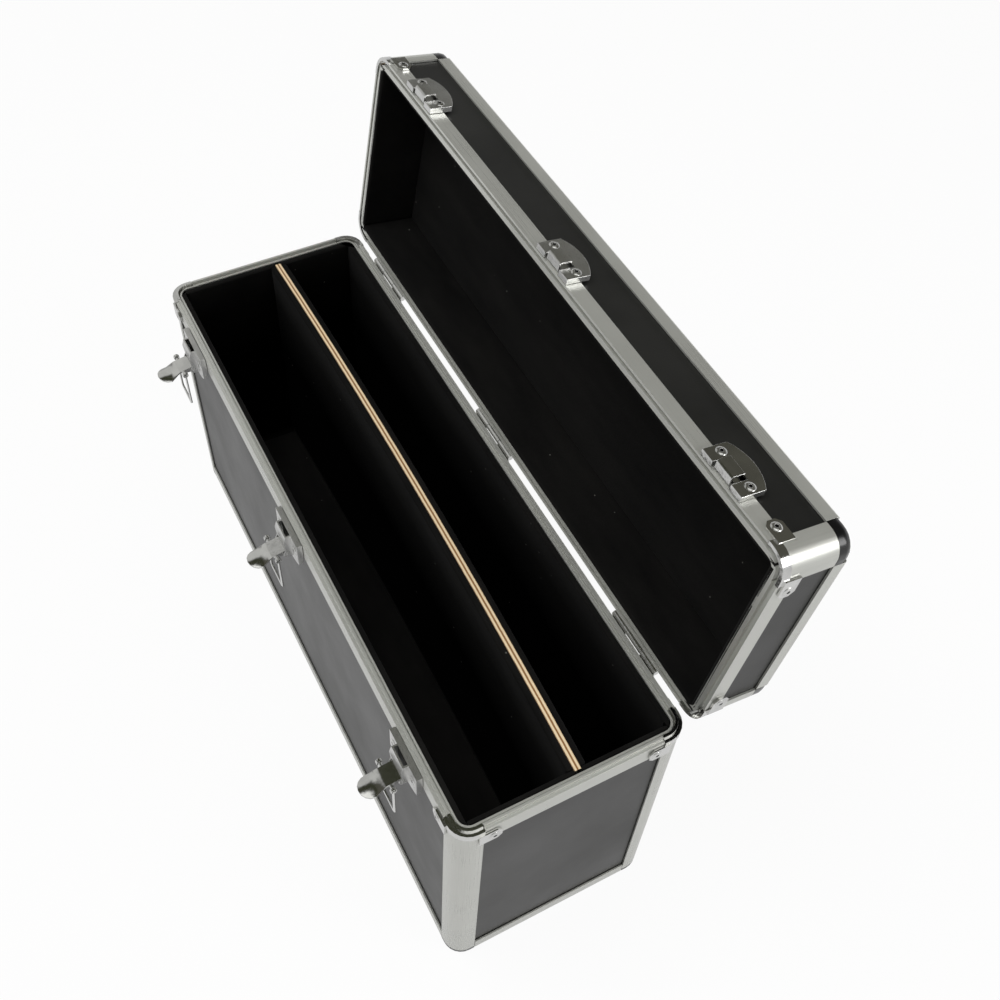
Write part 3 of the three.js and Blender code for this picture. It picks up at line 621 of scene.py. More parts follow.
@dataclass
class RivetSet:
    """The dimpled rivets of one body, turned on a lathe and laid over its nodes' plain heads.

    profile gives the radius and height of each ring, of which those within the hollow's radius carry
    a painted shade. A rivet that looks along x by more than sideways starts its rings at z, and any
    other at x.
    """

    body: str
    centres: np.ndarray
    outs: np.ndarray
    sides: int = 28
    profile: tuple[Span, ...] = (
        (0.0, 0.00048), (0.0010, 0.0005), (0.0012, 0.00062), (0.00135, 0.00078), (0.00155, 0.00088),
        (0.0018, 0.0009), (0.0022, 0.00085), (0.0027, 0.00069), (0.0032, 0.00045), (0.0036, 0.0002),
        (0.0038, -0.0001),
    )
    shaded_hollow: float = 0.00125
    sideways: float = 0.7

    def make(self, material: Material) -> Piece:
        """Turns the profile about each rivet's own axis: centre + r cos t u + r sin t v + h out.

        Args:
            material: The rivets' finish.

        Returns:
            All of the body's rivets as one piece, each closed underneath.
        """
        radius, height = np.array(self.profile).T
        turn = np.linspace(0, 2 * math.pi, self.sides, endpoint=False)[:, None, None, None]
        side = np.where(np.abs(self.outs[:, :1]) > self.sideways, Z, X)
        up = np.cross(self.outs, side)
        ring = np.cos(turn) * side + np.sin(turn) * up
        points = self.centres + radius[1:, None, None] * ring + height[1:, None, None] * self.outs
        points = points.transpose(2, 1, 0, 3)
        rivets, rows, sides = points.shape[:3]
        tops = self.centres + height[0] * self.outs
        every = rows * sides + 1
        index = np.arange(rows * sides).reshape(rows, sides)
        quads = ring_quads(index[::-1])
        fan = np.column_stack([index[0], np.roll(index[0], -1), np.full(sides, rows * sides)])
        faces: list[list[int]] = []
        for start in range(0, rivets * every, every):
            faces += (quads + start).tolist() + (fan + start).tolist()
            faces.append((index[-1][::-1] + start).tolist())
        corners = np.concatenate([points.reshape(rivets, -1, 3), tops[:, None]], axis=1)
        piece = new_piece("rivets_" + self.body, corners.reshape(-1, 3), faces)
        # Painted shade of each rivet's hollow: 1 on the inner rings and the top point, 0 on the
        # rest.
        depth = np.ones((rivets, every), np.float32)
        depth[:, :-1] = np.repeat(radius[1:] < self.shaded_hollow, sides)
        shaded_hollow = piece.data.attributes.new("shaded_hollow", "FLOAT", "POINT")
        shaded_hollow.data.foreach_set("value", depth.ravel())
        shell = bmesh.new()
        shell.from_mesh(piece.data)
        bmesh.ops.recalc_face_normals(shell, faces=shell.faces[:])
        shell.to_mesh(piece.data)
        shell.free()
        return seat_piece(piece, material, "chrome", self.body)


@dataclass(frozen=True)
class RivetPlan:
    """Where the rivets sit: corner ears, latch plates, keepers, hinges and the handle plate.

    ear gives how far they sit in from the corner, how far their seats stand over the case's side,
    and how far they are from the parting line. plate and hinge count the first from the middle of
    the fitting, and handle gives it with its plate's height over the lid's edge.
    """

    fittings: tuple[float, ...] = (-0.196, 0.0035, 0.198)
    hinges: tuple[float, ...] = (-0.198, -0.009, 0.194)
    ear: Point = (0.0246, 0.0018, 0.0094)
    plate: Point = (0.0144, 0.0046, 0.0104)
    hinge: Point = (0.018, 0.0015, 0.012)
    handle: Span = (0.046, 0.0537)

    def closed(self) -> Shell:
        """Lists one half's rivets, their heights growing away from 0 at the parting line.

        Returns:
            Centres and outward directions: eight on the corner ears, six on the plates, six on the
            hinges.
        """
        ends, length, width = (-1.0, 1.0), SIZES.half_length, SIZES.half_width
        reach, face, level = self.ear
        rows: list[tuple[float, ...]] = []
        for x, y in product(ends, ends):
            rows += [(x * (length - reach), y * (width + face), level, 0, y, 0),
                     (x * (length + face), y * (width - reach), level, x, 0, 0)]
        fronts, backs = (self.fittings, self.plate, -1), (self.hinges, self.hinge, 1)
        for side, (middles, (reach, face, level), out) in product(ends, (fronts, backs)):
            rows += [(x + side * reach, out * (width + face), level, 0, out, 0) for x in middles]
        return tuple(np.hsplit(np.array(rows), 2))

    def base(self) -> RivetSet:
        """The base's rivets, counted down from the parting plane."""
        centres, outs = self.closed()
        return RivetSet("base", centres * (1, 1, -1) + SIZES.parting * Z, outs)

    def lid(self) -> RivetSet:
        """The lid's rivets and the handle plate's two.

        Returns:
            The set, opened with the lid.
        """
        centres, outs = self.closed()
        handle = [(side * self.handle[0], 0.0, self.handle[1]) for side in (-1.0, 1.0)]
        centres, outs = np.vstack([centres, handle]), np.vstack([outs, Z, Z])
        placed = lid_to_frame(centres)
        return RivetSet("lid", placed, lid_to_frame(centres + outs) - placed)


def shell_middle(shell: bmesh.types.BMesh) -> np.ndarray:
    """The middle of a shell's box."""
    points = np.array([corner.co for corner in shell.verts])
    return (points.min(0) + points.max(0)) / 2


def cut_shell(shell: bmesh.types.BMesh, place: np.ndarray, across: np.ndarray) -> list:
    """Cuts a shell along a plane.

    Args:
        shell: The shell, which keeps both halves.
        place: A point of the plane.
        across: The direction that it faces.

    Returns:
        The corners and edges in the plane.
    """
    everything = shell.verts[:] + shell.edges[:] + shell.faces[:]
    return bmesh.ops.bisect_plane(shell, geom=everything, dist=ON_PLANE, plane_co=tuple(place),
                                  plane_no=tuple(across))["geom_cut"]


@dataclass
class EasedCopy:
    """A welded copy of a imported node, whose sharp edges are eased as a press or a saw leaves them.

    ease is the bevel's width, and turn the least angle that gets one. slices are cuts across x,
    from the middle. outline is the wider bevel round a pressing's face, where its wall is deeper
    than wall; flush is how near a face counts as in its plane. What stands over a face within
    head_reach of a rivet's axis, in head_heights, is its plain head, and sinks by the share
    head_sink. A face turns by less than flat between its triangles, and joining them may change
    the area by the share lost.
    """

    node: str
    ease: float = 0.00025
    turn: float = math.radians(38)
    rivets: RivetSet | None = None
    slices: tuple[float, ...] = ()
    outline: float = 0.0
    wall: float = 0.002
    flush: float = 0.00002
    head_reach: float = 0.0034
    head_heights: Span = (0.00002, 0.0011)
    head_sink: float = 0.7
    flat: float = math.radians(0.6)
    lost: float = 0.0005
    weld_digits: int = 6
    segments: int = 2
    outline_segments: int = 3

    def weigh_outline(self, mesh: Mesh, bevel: bpy.types.BevelModifier) -> None:
        """Lets the outline of a pressing's face turn over a wider ease than its other sharp edges.

        The face is the plane under the nearest rivet. Its outline edges turn outwards on it and
        border a wall that goes down by more than `wall`.

        Args:
            mesh: The welded mesh, which gets the edges' weights.
            bevel: The modifier, set to read them.
        """
        shell = bmesh.new()
        shell.from_mesh(mesh)
        middle = shell_middle(shell)
        nearest = int(np.argmin(np.linalg.norm(self.rivets.centres - middle, axis=1)))
        out = Vector(self.rivets.outs[nearest])
        level = float(self.rivets.centres[nearest] @ self.rivets.outs[nearest])
        weight = shell.edges.layers.float.new("bevel_weight_edge")
        found = 0
        for edge in shell.edges:
            if len(edge.link_faces) != 2 or edge.calc_face_angle(0.0) < self.turn:
                continue
            on_face = all(abs(corner.co.dot(out) - level) < self.flush for corner in edge.verts)
            around = [corner for face in edge.link_faces for corner in face.verts]
            depth = level - min(corner.co.dot(out) for corner in around)
            rim = on_face and edge.is_convex and depth > self.wall
            edge[weight] = 1.0 if rim else self.ease / self.outline
            found += rim
        shell.to_mesh(mesh)
        shell.free()
        bevel.limit_method = "WEIGHT"
        bevel.width, bevel.segments = self.outline, self.outline_segments
        log.info("%s: %d outline edges turn over %.1f mm", self.node, found, self.outline * 1000)

    def sink_heads(self, points: np.ndarray) -> None:
        """Sinks the plain rivet heads under the dimpled ones.

        Args:
            points: The copy's corners, changed in place.
        """
        if self.rivets is None:
            return
        offset = points[:, None, :] - self.rivets.centres[None]
        height = np.einsum("ijk,jk->ij", offset, self.rivets.outs)
        away = np.linalg.norm(offset - height[..., None] * self.rivets.outs[None], axis=2)
        low, high = self.head_heights
        head = (away < self.head_reach) & (height > low) & (height < high)
        sunk = np.where(head, height * self.head_sink, 0.0)
        points -= np.einsum("ij,jk->ik", sunk, self.rivets.outs)

    def make(self) -> Piece:
        """Welds equal corners, drops the seams inside flat faces, and eases what turns sharply.

        Returns:
            The copy, at the origin.
        """
        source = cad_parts[self.node].data
        raw = read_rows(source.vertices, "co", np.float32, 3).astype(float)
        points, where = np.unique(np.round(raw, self.weld_digits), axis=0, return_inverse=True)
        self.sink_heads(points)
        loops = read_rows(source.loops, "vertex_index", np.int32, 1).ravel()
        faces = where.reshape(-1)[loops].reshape(-1, 3)
        kept = (faces != np.roll(faces, 1, axis=1)).all(axis=1)
        piece = new_piece(self.node + "_eased", points, faces[kept])
        self.drop_flat_seams(piece.data)
        bevel = piece.modifiers.new("eased edges", "BEVEL")
        bevel.width, bevel.segments = self.ease, self.segments
        bevel.limit_method, bevel.angle_limit = "ANGLE", self.turn
        if self.outline:
            self.weigh_outline(piece.data, bevel)
        piece.modifiers.new("even normals", "WEIGHTED_NORMAL").keep_sharp = True
        return piece

    def drop_flat_seams(self, mesh: Mesh) -> None:
        """Joins the triangles of each flat face, and keeps them all where joining would lose area.

        The shell is first cut along three planes through its middle, whose edges stay, so that no
        flat face runs all the way round an opening.

        Args:
            mesh: The welded mesh, changed in place.
        """
        shell = bmesh.new()
        shell.from_mesh(mesh)
        area = sum(face.calc_area() for face in shell.faces)
        middle = shell_middle(shell)
        for axis in (X, Y, Z):
            for part in cut_shell(shell, middle, axis):
                if isinstance(part, bmesh.types.BMEdge):
                    part.seam = True
        bmesh.ops.dissolve_limit(shell, angle_limit=self.flat, use_dissolve_boundaries=False,
                                 verts=shell.verts, edges=shell.edges, delimit={"SEAM"})
        trial = shell.copy()
        bmesh.ops.triangulate(trial, faces=trial.faces[:])
        after = sum(face.calc_area() for face in trial.faces)
        trial.free()
        if abs(after - area) < area * self.lost:
            for edge in shell.edges:
                edge.seam = False
            for offset in self.slices:
                cut_shell(shell, middle + offset * X, X)
            shell.to_mesh(mesh)
            mesh.polygons.foreach_set("use_smooth", np.full(len(mesh.polygons), True))
        else:
            log.info("%s keeps its triangles", self.node)
        shell.free()


@dataclass
class PaddedPanel:
    """A flat panel of cloth over thin foam, with a rolled edge and a slightly uneven face.

    waves are the sines' turns per metre: along u and v in the first pair, and in the crossing one,
    which counts by the share cross. fade is how far in from an edge the face grows even.
    """

    width: float
    height: float
    thickness: float
    seed: float
    steps: int
    rows: int
    roll: float = 0.0018
    swell: float = 0.0004
    waves: tuple[Span, Span] = ((41.0, 57.0), (17.0, 83.0))
    cross: float = 0.6
    fade: float = 0.012
    arc_points: int = 6

    def edge_places(self, size: float, steps: int) -> np.ndarray:
        """Places along one side: a quarter roll of close steps at each end, even steps between.

        In the roll the places are roll x (1 - cos t), so that the arc's points are evenly turned.

        Args:
            size: The side's length.
            steps: How many even steps lie between the rolls.

        Returns:
            The places from 0 to size.
        """
        arc = self.roll * (1 - np.cos(np.linspace(0, math.pi / 2, self.arc_points)))[:-1]
        middle = np.linspace(self.roll, size - self.roll, steps + 1)
        return np.concatenate([arc, middle, size - arc[::-1]])

    def shell(self) -> Shell:
        """Works out the closed panel.

        The face stands at thickness less the roll's fall, roll - sqrt(roll^2 - (roll - d)^2) where
        d is the distance to the nearest edge, less a slow swell made of crossed sines that fades
        out at the edges. The back is the same grid laid flat.

        Returns:
            Points with (u, v, out), and quads.
        """
        u, v = np.meshgrid(self.edge_places(self.width, self.steps),
                           self.edge_places(self.height, self.rows), indexing="ij")
        near = np.minimum(np.minimum(u, self.width - u), np.minimum(v, self.height - v))
        fall = np.clip(self.roll - near, 0, None)
        out = self.thickness - self.roll + np.sqrt(np.clip(self.roll ** 2 - fall ** 2, 0, None))
        (wave_u, wave_v), (cross_u, cross_v) = self.waves
        wave = (np.sin(u * wave_u + self.seed) * np.sin(v * wave_v + self.seed * 2)
                + self.cross * np.sin(u * cross_u - v * cross_v + self.seed))
        out = out - self.swell * (0.5 + 0.5 * wave) * np.clip(near / self.fade, 0, 1)
        face = np.stack([u, v, out], axis=-1).reshape(-1, 3)
        back = face * (1.0, 1.0, 0.0)
        index = np.arange(u.size).reshape(u.shape)
        front_quads = np.stack([index[:-1, :-1], index[1:, :-1], index[1:, 1:], index[:-1, 1:]],
                               axis=-1).reshape(-1, 4)
        back_quads = front_quads[:, ::-1] + u.size
        ring = np.concatenate([index[:-1, 0], index[-1, :-1], index[:0:-1, -1], index[0, :0:-1]])
        after = np.roll(ring, -1)
        side = np.stack([after, ring, ring + u.size, after + u.size], axis=-1)
        return np.concatenate([face, back]), np.concatenate([front_quads, back_quads, side])

    def hang(self, corner: Point, along: np.ndarray, up: np.ndarray, out: np.ndarray) -> Shell:
        """Carries the panel's (u, v, out) to corner + u along + v up + out outwards.

        The quads are turned round where along, up and out make a left-handed set, so that faces
        point outwards either way.

        Args:
            corner: The place of its first corner.
            along: Unit direction of u.
            up: Unit direction of v.
            out: Unit direction of its face.

        Returns:
            Points and quads.
        """
        points, quads = self.shell()
        axes = np.array([along, up, out])
        return corner + points @ axes, quads if np.linalg.det(axes) > 0 else quads[:, ::-1]


def join_shells(shells: list[Shell]) -> Shell:
    """Puts several closed shells into one.

    Args:
        shells: Points and quads of each.

    Returns:
        Points and quads of all.
    """
    points, quads = zip(*shells)
    starts = np.cumsum([0] + [len(rows) for rows in points[:-1]])
    return np.concatenate(points), np.concatenate([rows + at for rows, at in zip(quads, starts)])


@dataclass
class Lining:
    """The five padded panels that line a tray: two long walls, two end walls and the floor.

    slack is the room behind the walls, and seam the room that a long wall leaves at each end; the
    end walls and the floor leave two seams.
    """

    body: str
    low: float
    high: float
    floor_thickness: float
    wall: float = 0.0038
    slack: float = 0.0001
    seam: float = 0.0001

    def panels(self) -> Shell:
        """Lays out the panels in the tray's own axes, the floor at low and the open edge at high.

        Returns:
            Points and quads of all five.
        """
        half_x = SIZES.half_length - SIZES.lining_outer - self.slack
        half_y = SIZES.half_width - SIZES.lining_outer - self.slack
        long_x, deep, low = half_x - self.seam, self.high - self.low, self.low
        in_x, in_y = (half - self.wall - 2 * self.seam for half in (half_x, half_y))
        front, back = (PaddedPanel(2 * long_x, deep, self.wall, seed=seed, steps=60, rows=24)
                       for seed in (1.3, 4.1))
        end = PaddedPanel(2 * in_y, deep, self.wall, seed=2.2, steps=20, rows=24)
        floor = PaddedPanel(2 * in_x, 2 * in_y, self.floor_thickness, seed=5.0, steps=60, rows=20,
                            roll=0.002)
        return join_shells([
            front.hang((-long_x, -half_y, low), X, Z, Y),
            back.hang((-long_x, half_y, low), X, Z, -Y),
            end.hang((half_x, -in_y, low), Y, Z, -X),
            end.hang((-half_x, -in_y, low), Y, Z, X),
            floor.hang((-in_x, -in_y, low), X, Y, Z),
        ])

    def make(self, cloth: Material) -> Piece:
        """Makes the lining. The lid's is the same tray turned over, then opened with the lid.

        Args:
            cloth: The lining's material.

        Returns:
            The piece.
        """
        points, quads = self.panels()
        if self.body == "lid":
            points[:, 2] = self.high + self.low - points[:, 2]
            points, quads = lid_to_frame(points), quads[:, ::-1]
        piece = new_piece(self.body + "_lining_cloth", points, quads)
        return seat_piece(piece, cloth, "lining", self.body, self.body + "_lining")


@dataclass
class Divider:
    """The plywood divider, its ends let into the end linings, with lining cloth over both faces."""

    board: float = 0.0052
    cover: float = 0.0042
    gap: float = 0.0003
    near_y: float = 0.0052
    far_y: float = 0.0084
    bow: float = 0.005
    reach: float = 0.2571
    cover_reach: float = 0.2538
    low: float = 0.0145
    cover_low: float = 0.0126
    high: float = 0.222
    cover_high: float = 0.2217
    ease: float = 0.0004
    corner: float = 0.3
    stations: int = 60

    def across(self, x: np.ndarray) -> np.ndarray:
        """Where the board's middle line runs: a straight skew and a shallow bow.

        y = middle + lean s + bow (1 - s^2), with s the place along the case from -1 to 1.

        Args:
            x: Places along the case.

        Returns:
            The places across it.
        """
        share = x / SIZES.half_length
        middle, lean = (self.near_y + self.far_y) / 2, (self.near_y - self.far_y) / 2
        return middle + lean * share + self.bow * (1 - share ** 2)

    def make_board(self, wood: Material) -> Piece:
        """Makes the board: a rectangle with eased corners, carried along the bowed middle line.

        The map's v is the share across the thickness and u the metres along the board, so the plies
        follow the bow.

        Args:
            wood: The board's material.

        Returns:
            The piece.
        """
        half, ease, low, high = self.board / 2, self.ease, self.low, self.high
        nick = ease * self.corner
        near = np.array([(-half, low + ease), (-half, high - ease), (-half + nick, high - nick),
                         (-half + ease, high)])
        ring = np.vstack([near, (0.0, high), near[::-1] * (-1, 1), (half - ease, low),
                          (-half + ease, low)])
        x = np.linspace(-self.reach, self.reach, self.stations)
        grid = np.empty((len(x), len(ring), 3))
        grid[..., 0] = x[:, None]
        grid[..., 1] = self.across(x)[:, None] + ring[:, 0]
        grid[..., 2] = ring[:, 1]
        index = np.arange(grid[..., 0].size).reshape(grid.shape[:2])
        faces = ring_quads(index).tolist() + [index[0][::-1].tolist(), index[-1].tolist()]
        piece = new_piece("divider_plywood", grid.reshape(-1, 3), faces, smooth=False)
        corners = read_rows(piece.data.loops, "vertex_index", np.int32, 1).ravel()
        share = (np.tile(ring[:, 0], len(x)) + half) / self.board
        board_map = np.column_stack([grid.reshape(-1, 3)[:, 0], share])[corners]
        layer = piece.data.uv_layers.new(name="plies")
        layer.data.foreach_set("uv", board_map.ravel().astype(np.float32))
        return seat_piece(piece, wood, "ply", "base", "divider_board")

    def make_cover(self, side: Side, cloth: Material, *nodes: str) -> Piece:
        """Makes the cloth over one face: a padded panel, bent to the board's line.

        Args:
            side: Which face.
            cloth: The lining's material.
            nodes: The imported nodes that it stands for.

        Returns:
            The piece.
        """
        panel = PaddedPanel(2 * self.cover_reach, self.cover_high - self.cover_low, self.cover,
                            seed=3.0 + side.value, steps=90, rows=26, roll=0.002, swell=0.0005)
        start = (-self.cover_reach, side.value * (self.board / 2 + self.gap), self.cover_low)
        points, quads = panel.hang(start, X, Z, side.value * Y)
        points[:, 1] += self.across(points[:, 0])
        piece = new_piece("divider_cloth_" + side.name.lower(), points, quads)
        return seat_piece(piece, cloth, "lining", "base", *nodes)


@dataclass
class SpoonLever:
    """A latch lever, whose tongue is dished like a spoon past its crease."""

    place: str
    pivot_y: float = -0.091
    crease: float = 0.0125
    blend: float = 0.006
    half_width: float = 0.0083
    dish: float = 0.0017
    ease: float = 0.0003
    cut_reach: float = 0.007
    cuts: int = 9

    def make(self) -> Piece:
        """Cuts the tongue into strips along its length and lets their edges fall.

        A point at x across and d out from the pivot falls by dish (x / half width)^2 s, where s
        rises smoothly from 0 at the crease to 1 a blend further out.

        Returns:
            The lever, at the origin.
        """
        slices = tuple(np.linspace(-self.cut_reach, self.cut_reach, self.cuts))
        piece = EasedCopy("latch_lever_" + self.place, self.ease, slices=slices).make()
        points = read_rows(piece.data.vertices, "co", np.float32, 3)
        middle = (points[:, 0].min() + points[:, 0].max()) / 2
        rise = np.clip((self.pivot_y - points[:, 1] - self.crease) / self.blend, 0, 1)
        share = (points[:, 0] - middle) / self.half_width
        points[:, 2] -= self.dish * share ** 2 * rise * rise * (3 - 2 * rise)
        piece.data.vertices.foreach_set("co", points.ravel())
        piece.data.update()
        return piece


@dataclass
class Trim:
    """The metal trim, corner pieces, hinges, latches, keepers and handle of the case.

    thin is the ease of the claws and the handle plate, and thick that of the heavier pressings. cap
    and grip are those of the plastic pieces, and keeper_outline is the keepers' wider turn.
    """

    finishes: dict[str, Material]
    corners: tuple[str, ...] = ("near_back", "far_back", "far_front", "near_front")
    places: tuple[str, ...] = ("far", "middle", "near")
    rivets: dict[str, RivetSet] = field(
        default_factory=lambda: {"base": RivetPlan().base(), "lid": RivetPlan().lid()})
    thin: float = 0.0003
    thick: float = 0.0004
    cap: float = 0.0005
    grip: float = 0.0008
    keeper_outline: float = 0.0011

    def dress(self) -> None:
        """Makes an eased copy of each metal and plastic node and gives it its finish."""
        for body, edge in (("base", "bottom_edge"), ("lid", "top_edge")):
            for name in ("rim", edge):
                self.ease(f"{body}_{name}", "round_" + body, "alu", body)
        for corner, (body, cap) in product(self.corners, (("base", "foot"), ("lid", "cap"))):
            self.ease(f"{body}_post_{corner}", "upright_" + body, "alu", body)
            self.ease(f"{body}_rim_corner_{corner}", "bright", "chrome", body, self.thick)
            self.ease(f"{body}_{cap}_{corner}", "cap", "cap", body, self.cap)
        for place in self.places:
            self.ease("hinge_base_" + place, "bright", "chrome", "base")
            self.ease("hinge_lid_" + place, "bright", "chrome", "lid")
            self.ease("latch_plate_" + place, "latch", "chrome", "base", self.thick)
            self.ease("keeper_" + place, "bright" if place == "near" else "satin", "chrome", "lid",
                      self.thick, self.keeper_outline)
            seat_piece(SpoonLever(place).make(), self.finishes["bright"], "chrome",
                       "lever_" + place, "latch_lever_" + place)
            self.ease("latch_claw_" + place, "bright", "chrome", "claw_" + place, self.thin)
        self.ease("handle_plate", "bright", "chrome", "lid", self.thin)
        self.ease("handle_grip", "grip", "grip", "handle", self.grip)
        for rivets in self.rivets.values():
            rivets.make(self.finishes["rivet"])

    def ease(self, node: str, look: str, slot: str, body: str, ease: float = 0.00025,
             outline: float = 0.0) -> None:
        """Makes one eased copy and seats it in the node's place."""
        copy = EasedCopy(node, ease, rivets=self.rivets.get(body), outline=outline).make()
        seat_piece(copy, self.finishes[look], slot, body, node)


@dataclass
class Boards:
    """The laminated boards, which stay as packed: a fine pebbled print with a little dust."""

    base: tuple[str, ...] = ("bottom_board", "front_board", "back_board", "near_board", "far_board")
    lid: tuple[str, ...] = ("top_board", "side_band")
    tones: Stops = ((0.3, (0.0075, 0.0076, 0.0074)), (0.7, (0.0160, 0.0160, 0.0148)))
    roughness: Span = (0.31, 0.45)
    reach: Span = (0.3, 0.75)
    pebbles: Grain = Grain(900.0, depth=0.00006)
    marks: Grain = Grain(9.0, 5.0, 0.6)
    fine: Grain = Grain(1600.0, depth=0.00003, strength=0.3)

    def dress(self) -> None:
        """Gives each board its laminate."""
        for body, names in (("base", self.base), ("lid", self.lid)):
            look = GrainedFace(body + " laminate", self.tones, self.roughness, self.pebbles,
                               self.marks, self.fine, self.reach, on_lid=body == "lid").make()
            for name in names:
                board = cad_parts[f"{body}_{name}"]
                board.data.materials.clear()
                board.data.materials.append(look)
                log.info("dressed %s", board.name)


def stand(item: Piece, *columns: Sequence[float]) -> None:
    """Puts a lamp or a camera into the scene.

    Args:
        item: The lamp or camera.
        columns: The directions of its own x, y and z, and its place.
    """
    bpy.context.scene.collection.objects.link(item)
    turn = np.eye(4)
    turn[:3] = np.column_stack(columns)
    item.matrix_world = Matrix(turn.tolist())


@dataclass(frozen=True)
class SoftLamp:
    """A square soft lamp that looks at the middle of the case; bright metal mirrors it or not."""

    name: str
    place: Point
    side: float
    watts: float
    mirrored: bool
    aim: Point = (0.0, 0.0, 0.15)

    def make(self) -> None:
        """Hangs the lamp, its own z the direction from the aim to its place."""
        data = bpy.data.lights.new(self.name, "AREA")
        data.shape, data.size, data.energy = "SQUARE", self.side, self.watts
        lamp = bpy.data.objects.new(self.name, data)
        lamp.visible_glossy = self.mirrored
        away = np.array(self.place) - self.aim
        away /= np.linalg.norm(away)
        side = np.cross(Z, away)
        side /= np.linalg.norm(side)
        stand(lamp, side, np.cross(away, side), away, self.place)


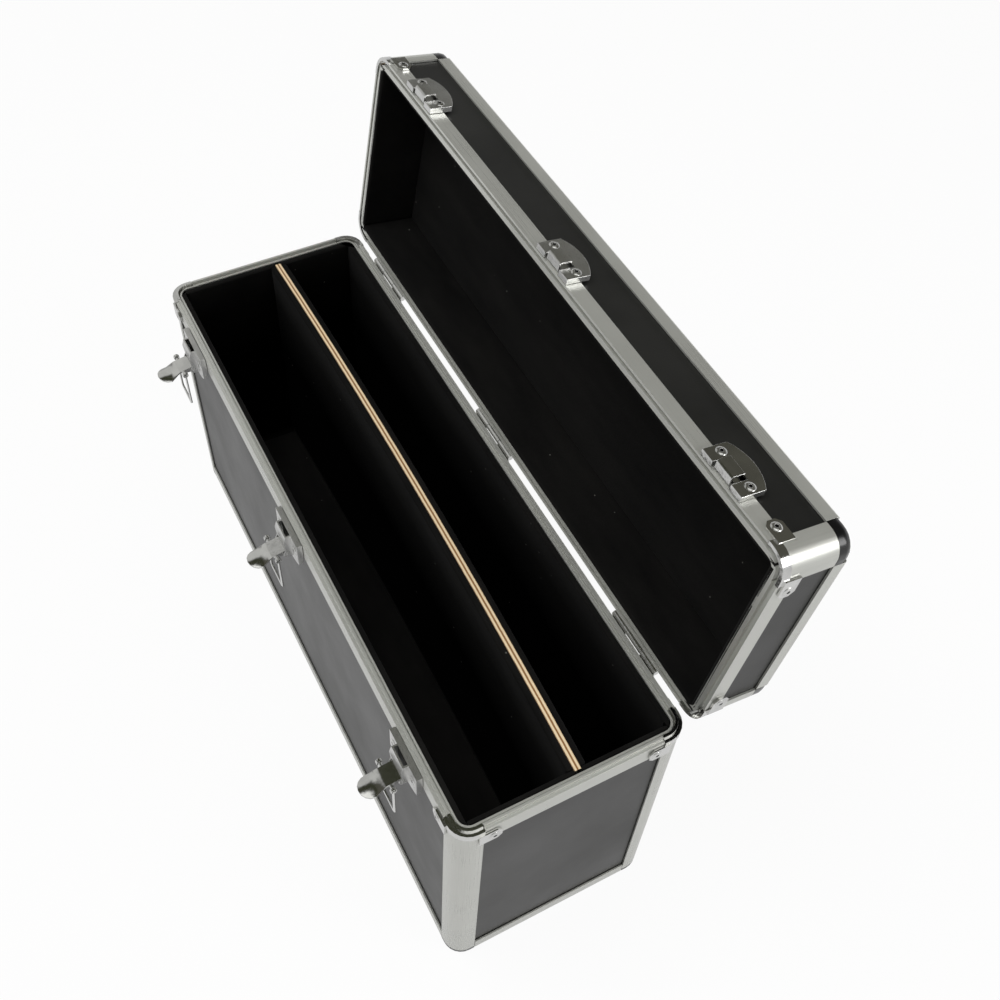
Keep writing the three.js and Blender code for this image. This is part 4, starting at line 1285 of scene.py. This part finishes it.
@dataclass
class Studio:
    """The pale floor, the world, the soft lamps and the camera at the photograph's angle.

    ceiling gives the world's light by height. Each of the panels in it has a direction, the
    cosines to it at its edge and where it is full, and its level. glow is the share of the floor's
    own light where it is seen, and mirrored_glow that light's level where only metal sees it.
    """

    floor_level: float = -0.00205
    floor_half: float = 30.0
    floor_colour: Colour = (0.86, 0.86, 0.86)
    floor_roughness: float = 0.9
    glow: float = 0.94
    mirrored_glow: float = 0.68
    camera_place: Point = (0.500805, -0.215193, 0.914934)
    right: Point = (0.46747098, 0.88282114, 0.04580081)
    down: Point = (0.71547912, -0.34741408, -0.6061296)
    back: Point = (0.51919218, -0.31611752, 0.79404609)
    lens: float = 43.2
    sensor: float = 36.0
    clip: float = 0.01
    ceiling: Stops = ((0.04, (0.66, 0.665, 0.67)), (0.42, (0.078, 0.076, 0.062)),
                      (0.82, (0.078, 0.076, 0.062)), (0.90, (0.034, 0.036, 0.022)))
    panels: tuple[tuple[Point, float, float, float], ...] = (
        ((-0.80, -0.12, 0.588), 0.90, 0.955, 0.52),
        ((0.25, 0.12, 0.961), 0.88, 0.95, 1.0),
        ((-0.62, -0.49, 0.612), 0.92, 0.985, 0.55),
    )
    panel_tint: Colour = (1.0, 1.0, 0.97)
    backdrop: Colour = (0.95, 0.95, 0.95)
    lamps: tuple[SoftLamp, ...] = (
        SoftLamp("key", (-0.2, -0.6, 2.0), 1.1, 24.0, mirrored=False),
        SoftLamp("fill", (1.35, 1.05, 1.0), 0.8, 9.0, mirrored=True),
    )

    def make_camera(self) -> None:
        """Makes the camera, whose axes are right, up and back."""
        data = bpy.data.cameras.new("camera")
        data.lens, data.sensor_width, data.clip_start = self.lens, self.sensor, self.clip
        camera = bpy.data.objects.new("camera", data)
        stand(camera, self.right, -np.array(self.down), self.back, self.camera_place)
        bpy.context.scene.camera = camera

    def make_floor(self) -> None:
        """Makes the floor, white to the camera and in reflections, which keeps a faint shadow."""
        corners = np.array([(-1, -1, 0), (1, -1, 0), (1, 1, 0), (-1, 1, 0)]) * self.floor_half
        floor = new_piece("floor", corners + self.floor_level * Z, [[0, 1, 2, 3]], smooth=False)
        finish = Finish("pale floor")
        finish.surface({"Base Color": self.floor_colour, "Roughness": self.floor_roughness})
        matt = finish.shader.outputs[0]
        rays = finish.add("LightPath").outputs
        level = finish.ranged(rays["Is Camera Ray"], (0.0, 1.0), (self.mirrored_glow, 1.0))
        light = finish.add("Emission", {"Strength": level}).outputs[0]
        seen = finish.add("MixShader", {0: self.glow, 1: matt, 2: light}).outputs[0]
        either = finish.math("MAXIMUM", rays["Is Camera Ray"], finish.math(
            "MAXIMUM", rays["Is Glossy Ray"], rays["Is Transmission Ray"]))
        chosen = finish.add("MixShader", {0: either, 1: matt, 2: seen}).outputs[0]
        finish.feed(finish.nodes["Material Output"].inputs["Surface"], chosen)
        floor.data.materials.append(finish.material)

    def make_world(self) -> None:
        """Makes the world: white to the camera, pale low down and dark above for the light.

        Each soft panel is a colour ramp on the cosine to its direction, and the brightest counts.
        """
        world = bpy.data.worlds.new("studio")
        bpy.context.scene.world = world
        tree = NodeTree(world)
        direction = tree.add("TexCoord").outputs["Generated"]
        light = tree.colours(tree.split(direction)["Z"], self.ceiling)
        for middle, edge, core, level in self.panels:
            towards = tree.add("VectorMath", {0: direction, 1: middle}, operation="DOT_PRODUCT")
            full = tuple(level * channel for channel in self.panel_tint)
            soft = tree.colours(towards.outputs["Value"], ((edge, BLACK), (core, full)), eased=True)
            light = tree.add("VectorMath", {0: light, 1: soft}, operation="MAXIMUM").outputs[0]
        seen = tree.add("LightPath").outputs["Is Camera Ray"]
        colour = tree.mix(seen, light, self.backdrop)
        tree.feed(tree.nodes["Background"].inputs["Color"], colour)

    def make(self) -> None:
        """Sets up the view, the camera, the floor, the world and the lamps."""
        bpy.context.scene.view_settings.view_transform = "Standard"
        self.make_camera()
        self.make_floor()
        self.make_world()
        for lamp in self.lamps:
            lamp.make()
        log.info("studio ready")


def main() -> None:
    """Builds the case's looks in order."""
    Studio().make()
    base_cloth = LiningCloth("base lining cloth", on_lid=False).make()
    lid_cloth = LiningCloth("lid lining cloth", on_lid=True).make()
    Boards().dress()
    Trim({
        "round_base": Anodised("base rim aluminium", Draw.ROUND_BASE).make(),
        "round_lid": Anodised("lid rim aluminium", Draw.ROUND_LID).make(),
        "upright_base": Anodised("base post aluminium", Draw.UPRIGHT_BASE).make(),
        "upright_lid": Anodised("lid post aluminium", Draw.UPRIGHT_LID).make(),
        "bright": BrightPlate("bright plate").make(),
        "satin": BrightPlate("satin plate", roughness=(0.26, 0.42)).make(),
        "latch": BrightPlate("latch plate", roughness=(0.26, 0.42),
                             slots=RivetPlan().fittings).make(),
        "rivet": BrightPlate("rivet", roughness=(0.20, 0.36)).make(),
        "cap": GrainedFace(
            "gloss black cap",
            tones=((0.35, (0.0025, 0.0025, 0.003)), (0.75, (0.0055, 0.0055, 0.0066))),
            roughness=(0.16, 0.26), pebbles=Grain(1300.0, depth=0.000004, strength=0.5),
            marks=Grain(60.0), coat=0.3).make(),
        "grip": GrainedFace(
            "grained black grip", tones=((0.35, (0.010,) * 3), (0.75, (0.022,) * 3)),
            roughness=(0.42, 0.52), pebbles=Grain(1300.0, depth=0.00012, strength=0.5),
            marks=Grain(60.0)).make(),
    }).dress()
    base_lining = Lining("base", SIZES.floor_board, SIZES.lining_top, floor_thickness=0.008)
    base_lining.make(base_cloth)
    lid_lining = Lining("lid", 0.0, SIZES.lid_ceiling, floor_thickness=0.0038)
    lid_lining.make(lid_cloth)
    divider = Divider()
    divider.make_board(Plywood("divider plywood").make())
    divider.make_cover(Side.FRONT, base_cloth, "divider_sleeve")
    divider.make_cover(Side.BACK, base_cloth)
    log.info("all pieces made")


if __name__ == "__main__":
    main()
